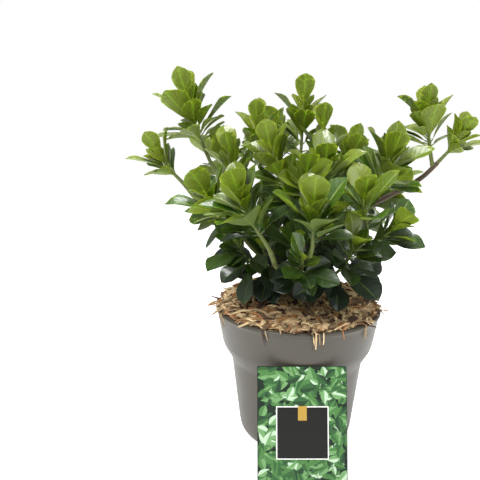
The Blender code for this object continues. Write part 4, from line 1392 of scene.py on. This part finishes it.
class SPINDLE_OT_stage(bpy.types.Operator):
    """Sets a plain pale floor, soft studio lights and the camera"""

    bl_idname = "spindle.stage"
    bl_label = "Stage"

    def execute(self, context):
        scene = context.scene
        ring = turned(np.array([(FLOOR_RADIUS, -0.02), (FLOOR_RADIUS, -GAP)]), 96)
        points, quads, fans = lofts(ring)
        mesh = bpy.data.meshes.new("floor")
        mesh.from_pydata(points.tolist(), [], quads.reshape(-1, 4).tolist() + fans.reshape(-1, 3).tolist())
        pale = Finish("floor_white", Base_Color=(0.95, 0.95, 0.95, 1.0), Roughness=0.8)
        pale.shader.inputs["Emission Color"].default_value = WHITE
        pale.shader.inputs["Emission Strength"].default_value = 0.68
        mesh.materials.append(pale.material)
        floor = bpy.data.objects.new("floor", mesh)
        scene.collection.objects.link(floor)
        for name, place, size, power in LAMPS:
            lamp = bpy.data.lights.new(name, "AREA")
            lamp.size = size
            lamp.energy = power
            holder = bpy.data.objects.new(name, lamp)
            holder.location = place
            holder.rotation_euler = (Vector(LAMP_AIM) - Vector(place)).to_track_quat("-Z", "Y").to_euler()
            scene.collection.objects.link(holder)
        scene.world = white_room(0.36)
        scene.view_settings.view_transform = "Standard"
        lens = bpy.data.cameras.new("camera")
        lens.lens = CAMERA_LENS
        lens.sensor_width = 36.0
        lens.clip_start = 0.01
        camera = bpy.data.objects.new("camera", lens)
        camera.location = CAMERA_PLACE
        camera.rotation_euler = (CAMERA_TILT, 0.0, 0.0)
        scene.collection.objects.link(camera)
        scene.camera = camera
        return {"FINISHED"}


class SPINDLE_PT_panel(bpy.types.Panel):
    """Lists the operators and their settings"""

    bl_idname = "SPINDLE_PT_panel"
    bl_label = "Potted spindle"
    bl_space_type = "VIEW_3D"
    bl_region_type = "UI"
    bl_category = "Spindle"

    def draw(self, context):
        layout = self.layout
        for group in (context.scene.spindle_sizes, context.scene.spindle_colours):
            box = layout.box()
            for name in group.__annotations__:
                box.prop(group, name)
        for operator in OPERATORS:
            layout.operator(operator.bl_idname)


OPERATORS = (
    SPINDLE_OT_pot,
    SPINDLE_OT_compost,
    SPINDLE_OT_mulch,
    SPINDLE_OT_card,
    SPINDLE_OT_limbs,
    SPINDLE_OT_foliage,
    SPINDLE_OT_stage,
)
CLASSES = (SpindleSizes, SpindleColours, *OPERATORS, SPINDLE_PT_panel)


def register():
    for each in CLASSES:
        bpy.utils.register_class(each)
    bpy.types.Scene.spindle_sizes = PointerProperty(type=SpindleSizes)
    bpy.types.Scene.spindle_colours = PointerProperty(type=SpindleColours)


def unregister():
    del bpy.types.Scene.spindle_colours
    del bpy.types.Scene.spindle_sizes
    for each in reversed(CLASSES):
        bpy.utils.unregister_class(each)


def main():
    register()
    bpy.ops.spindle.pot()
    bpy.ops.spindle.compost()
    bpy.ops.spindle.mulch()
    bpy.ops.spindle.card()
    bpy.ops.spindle.limbs()
    bpy.ops.spindle.foliage()
    bpy.ops.spindle.stage()


if __name__ == "__main__":
    main()
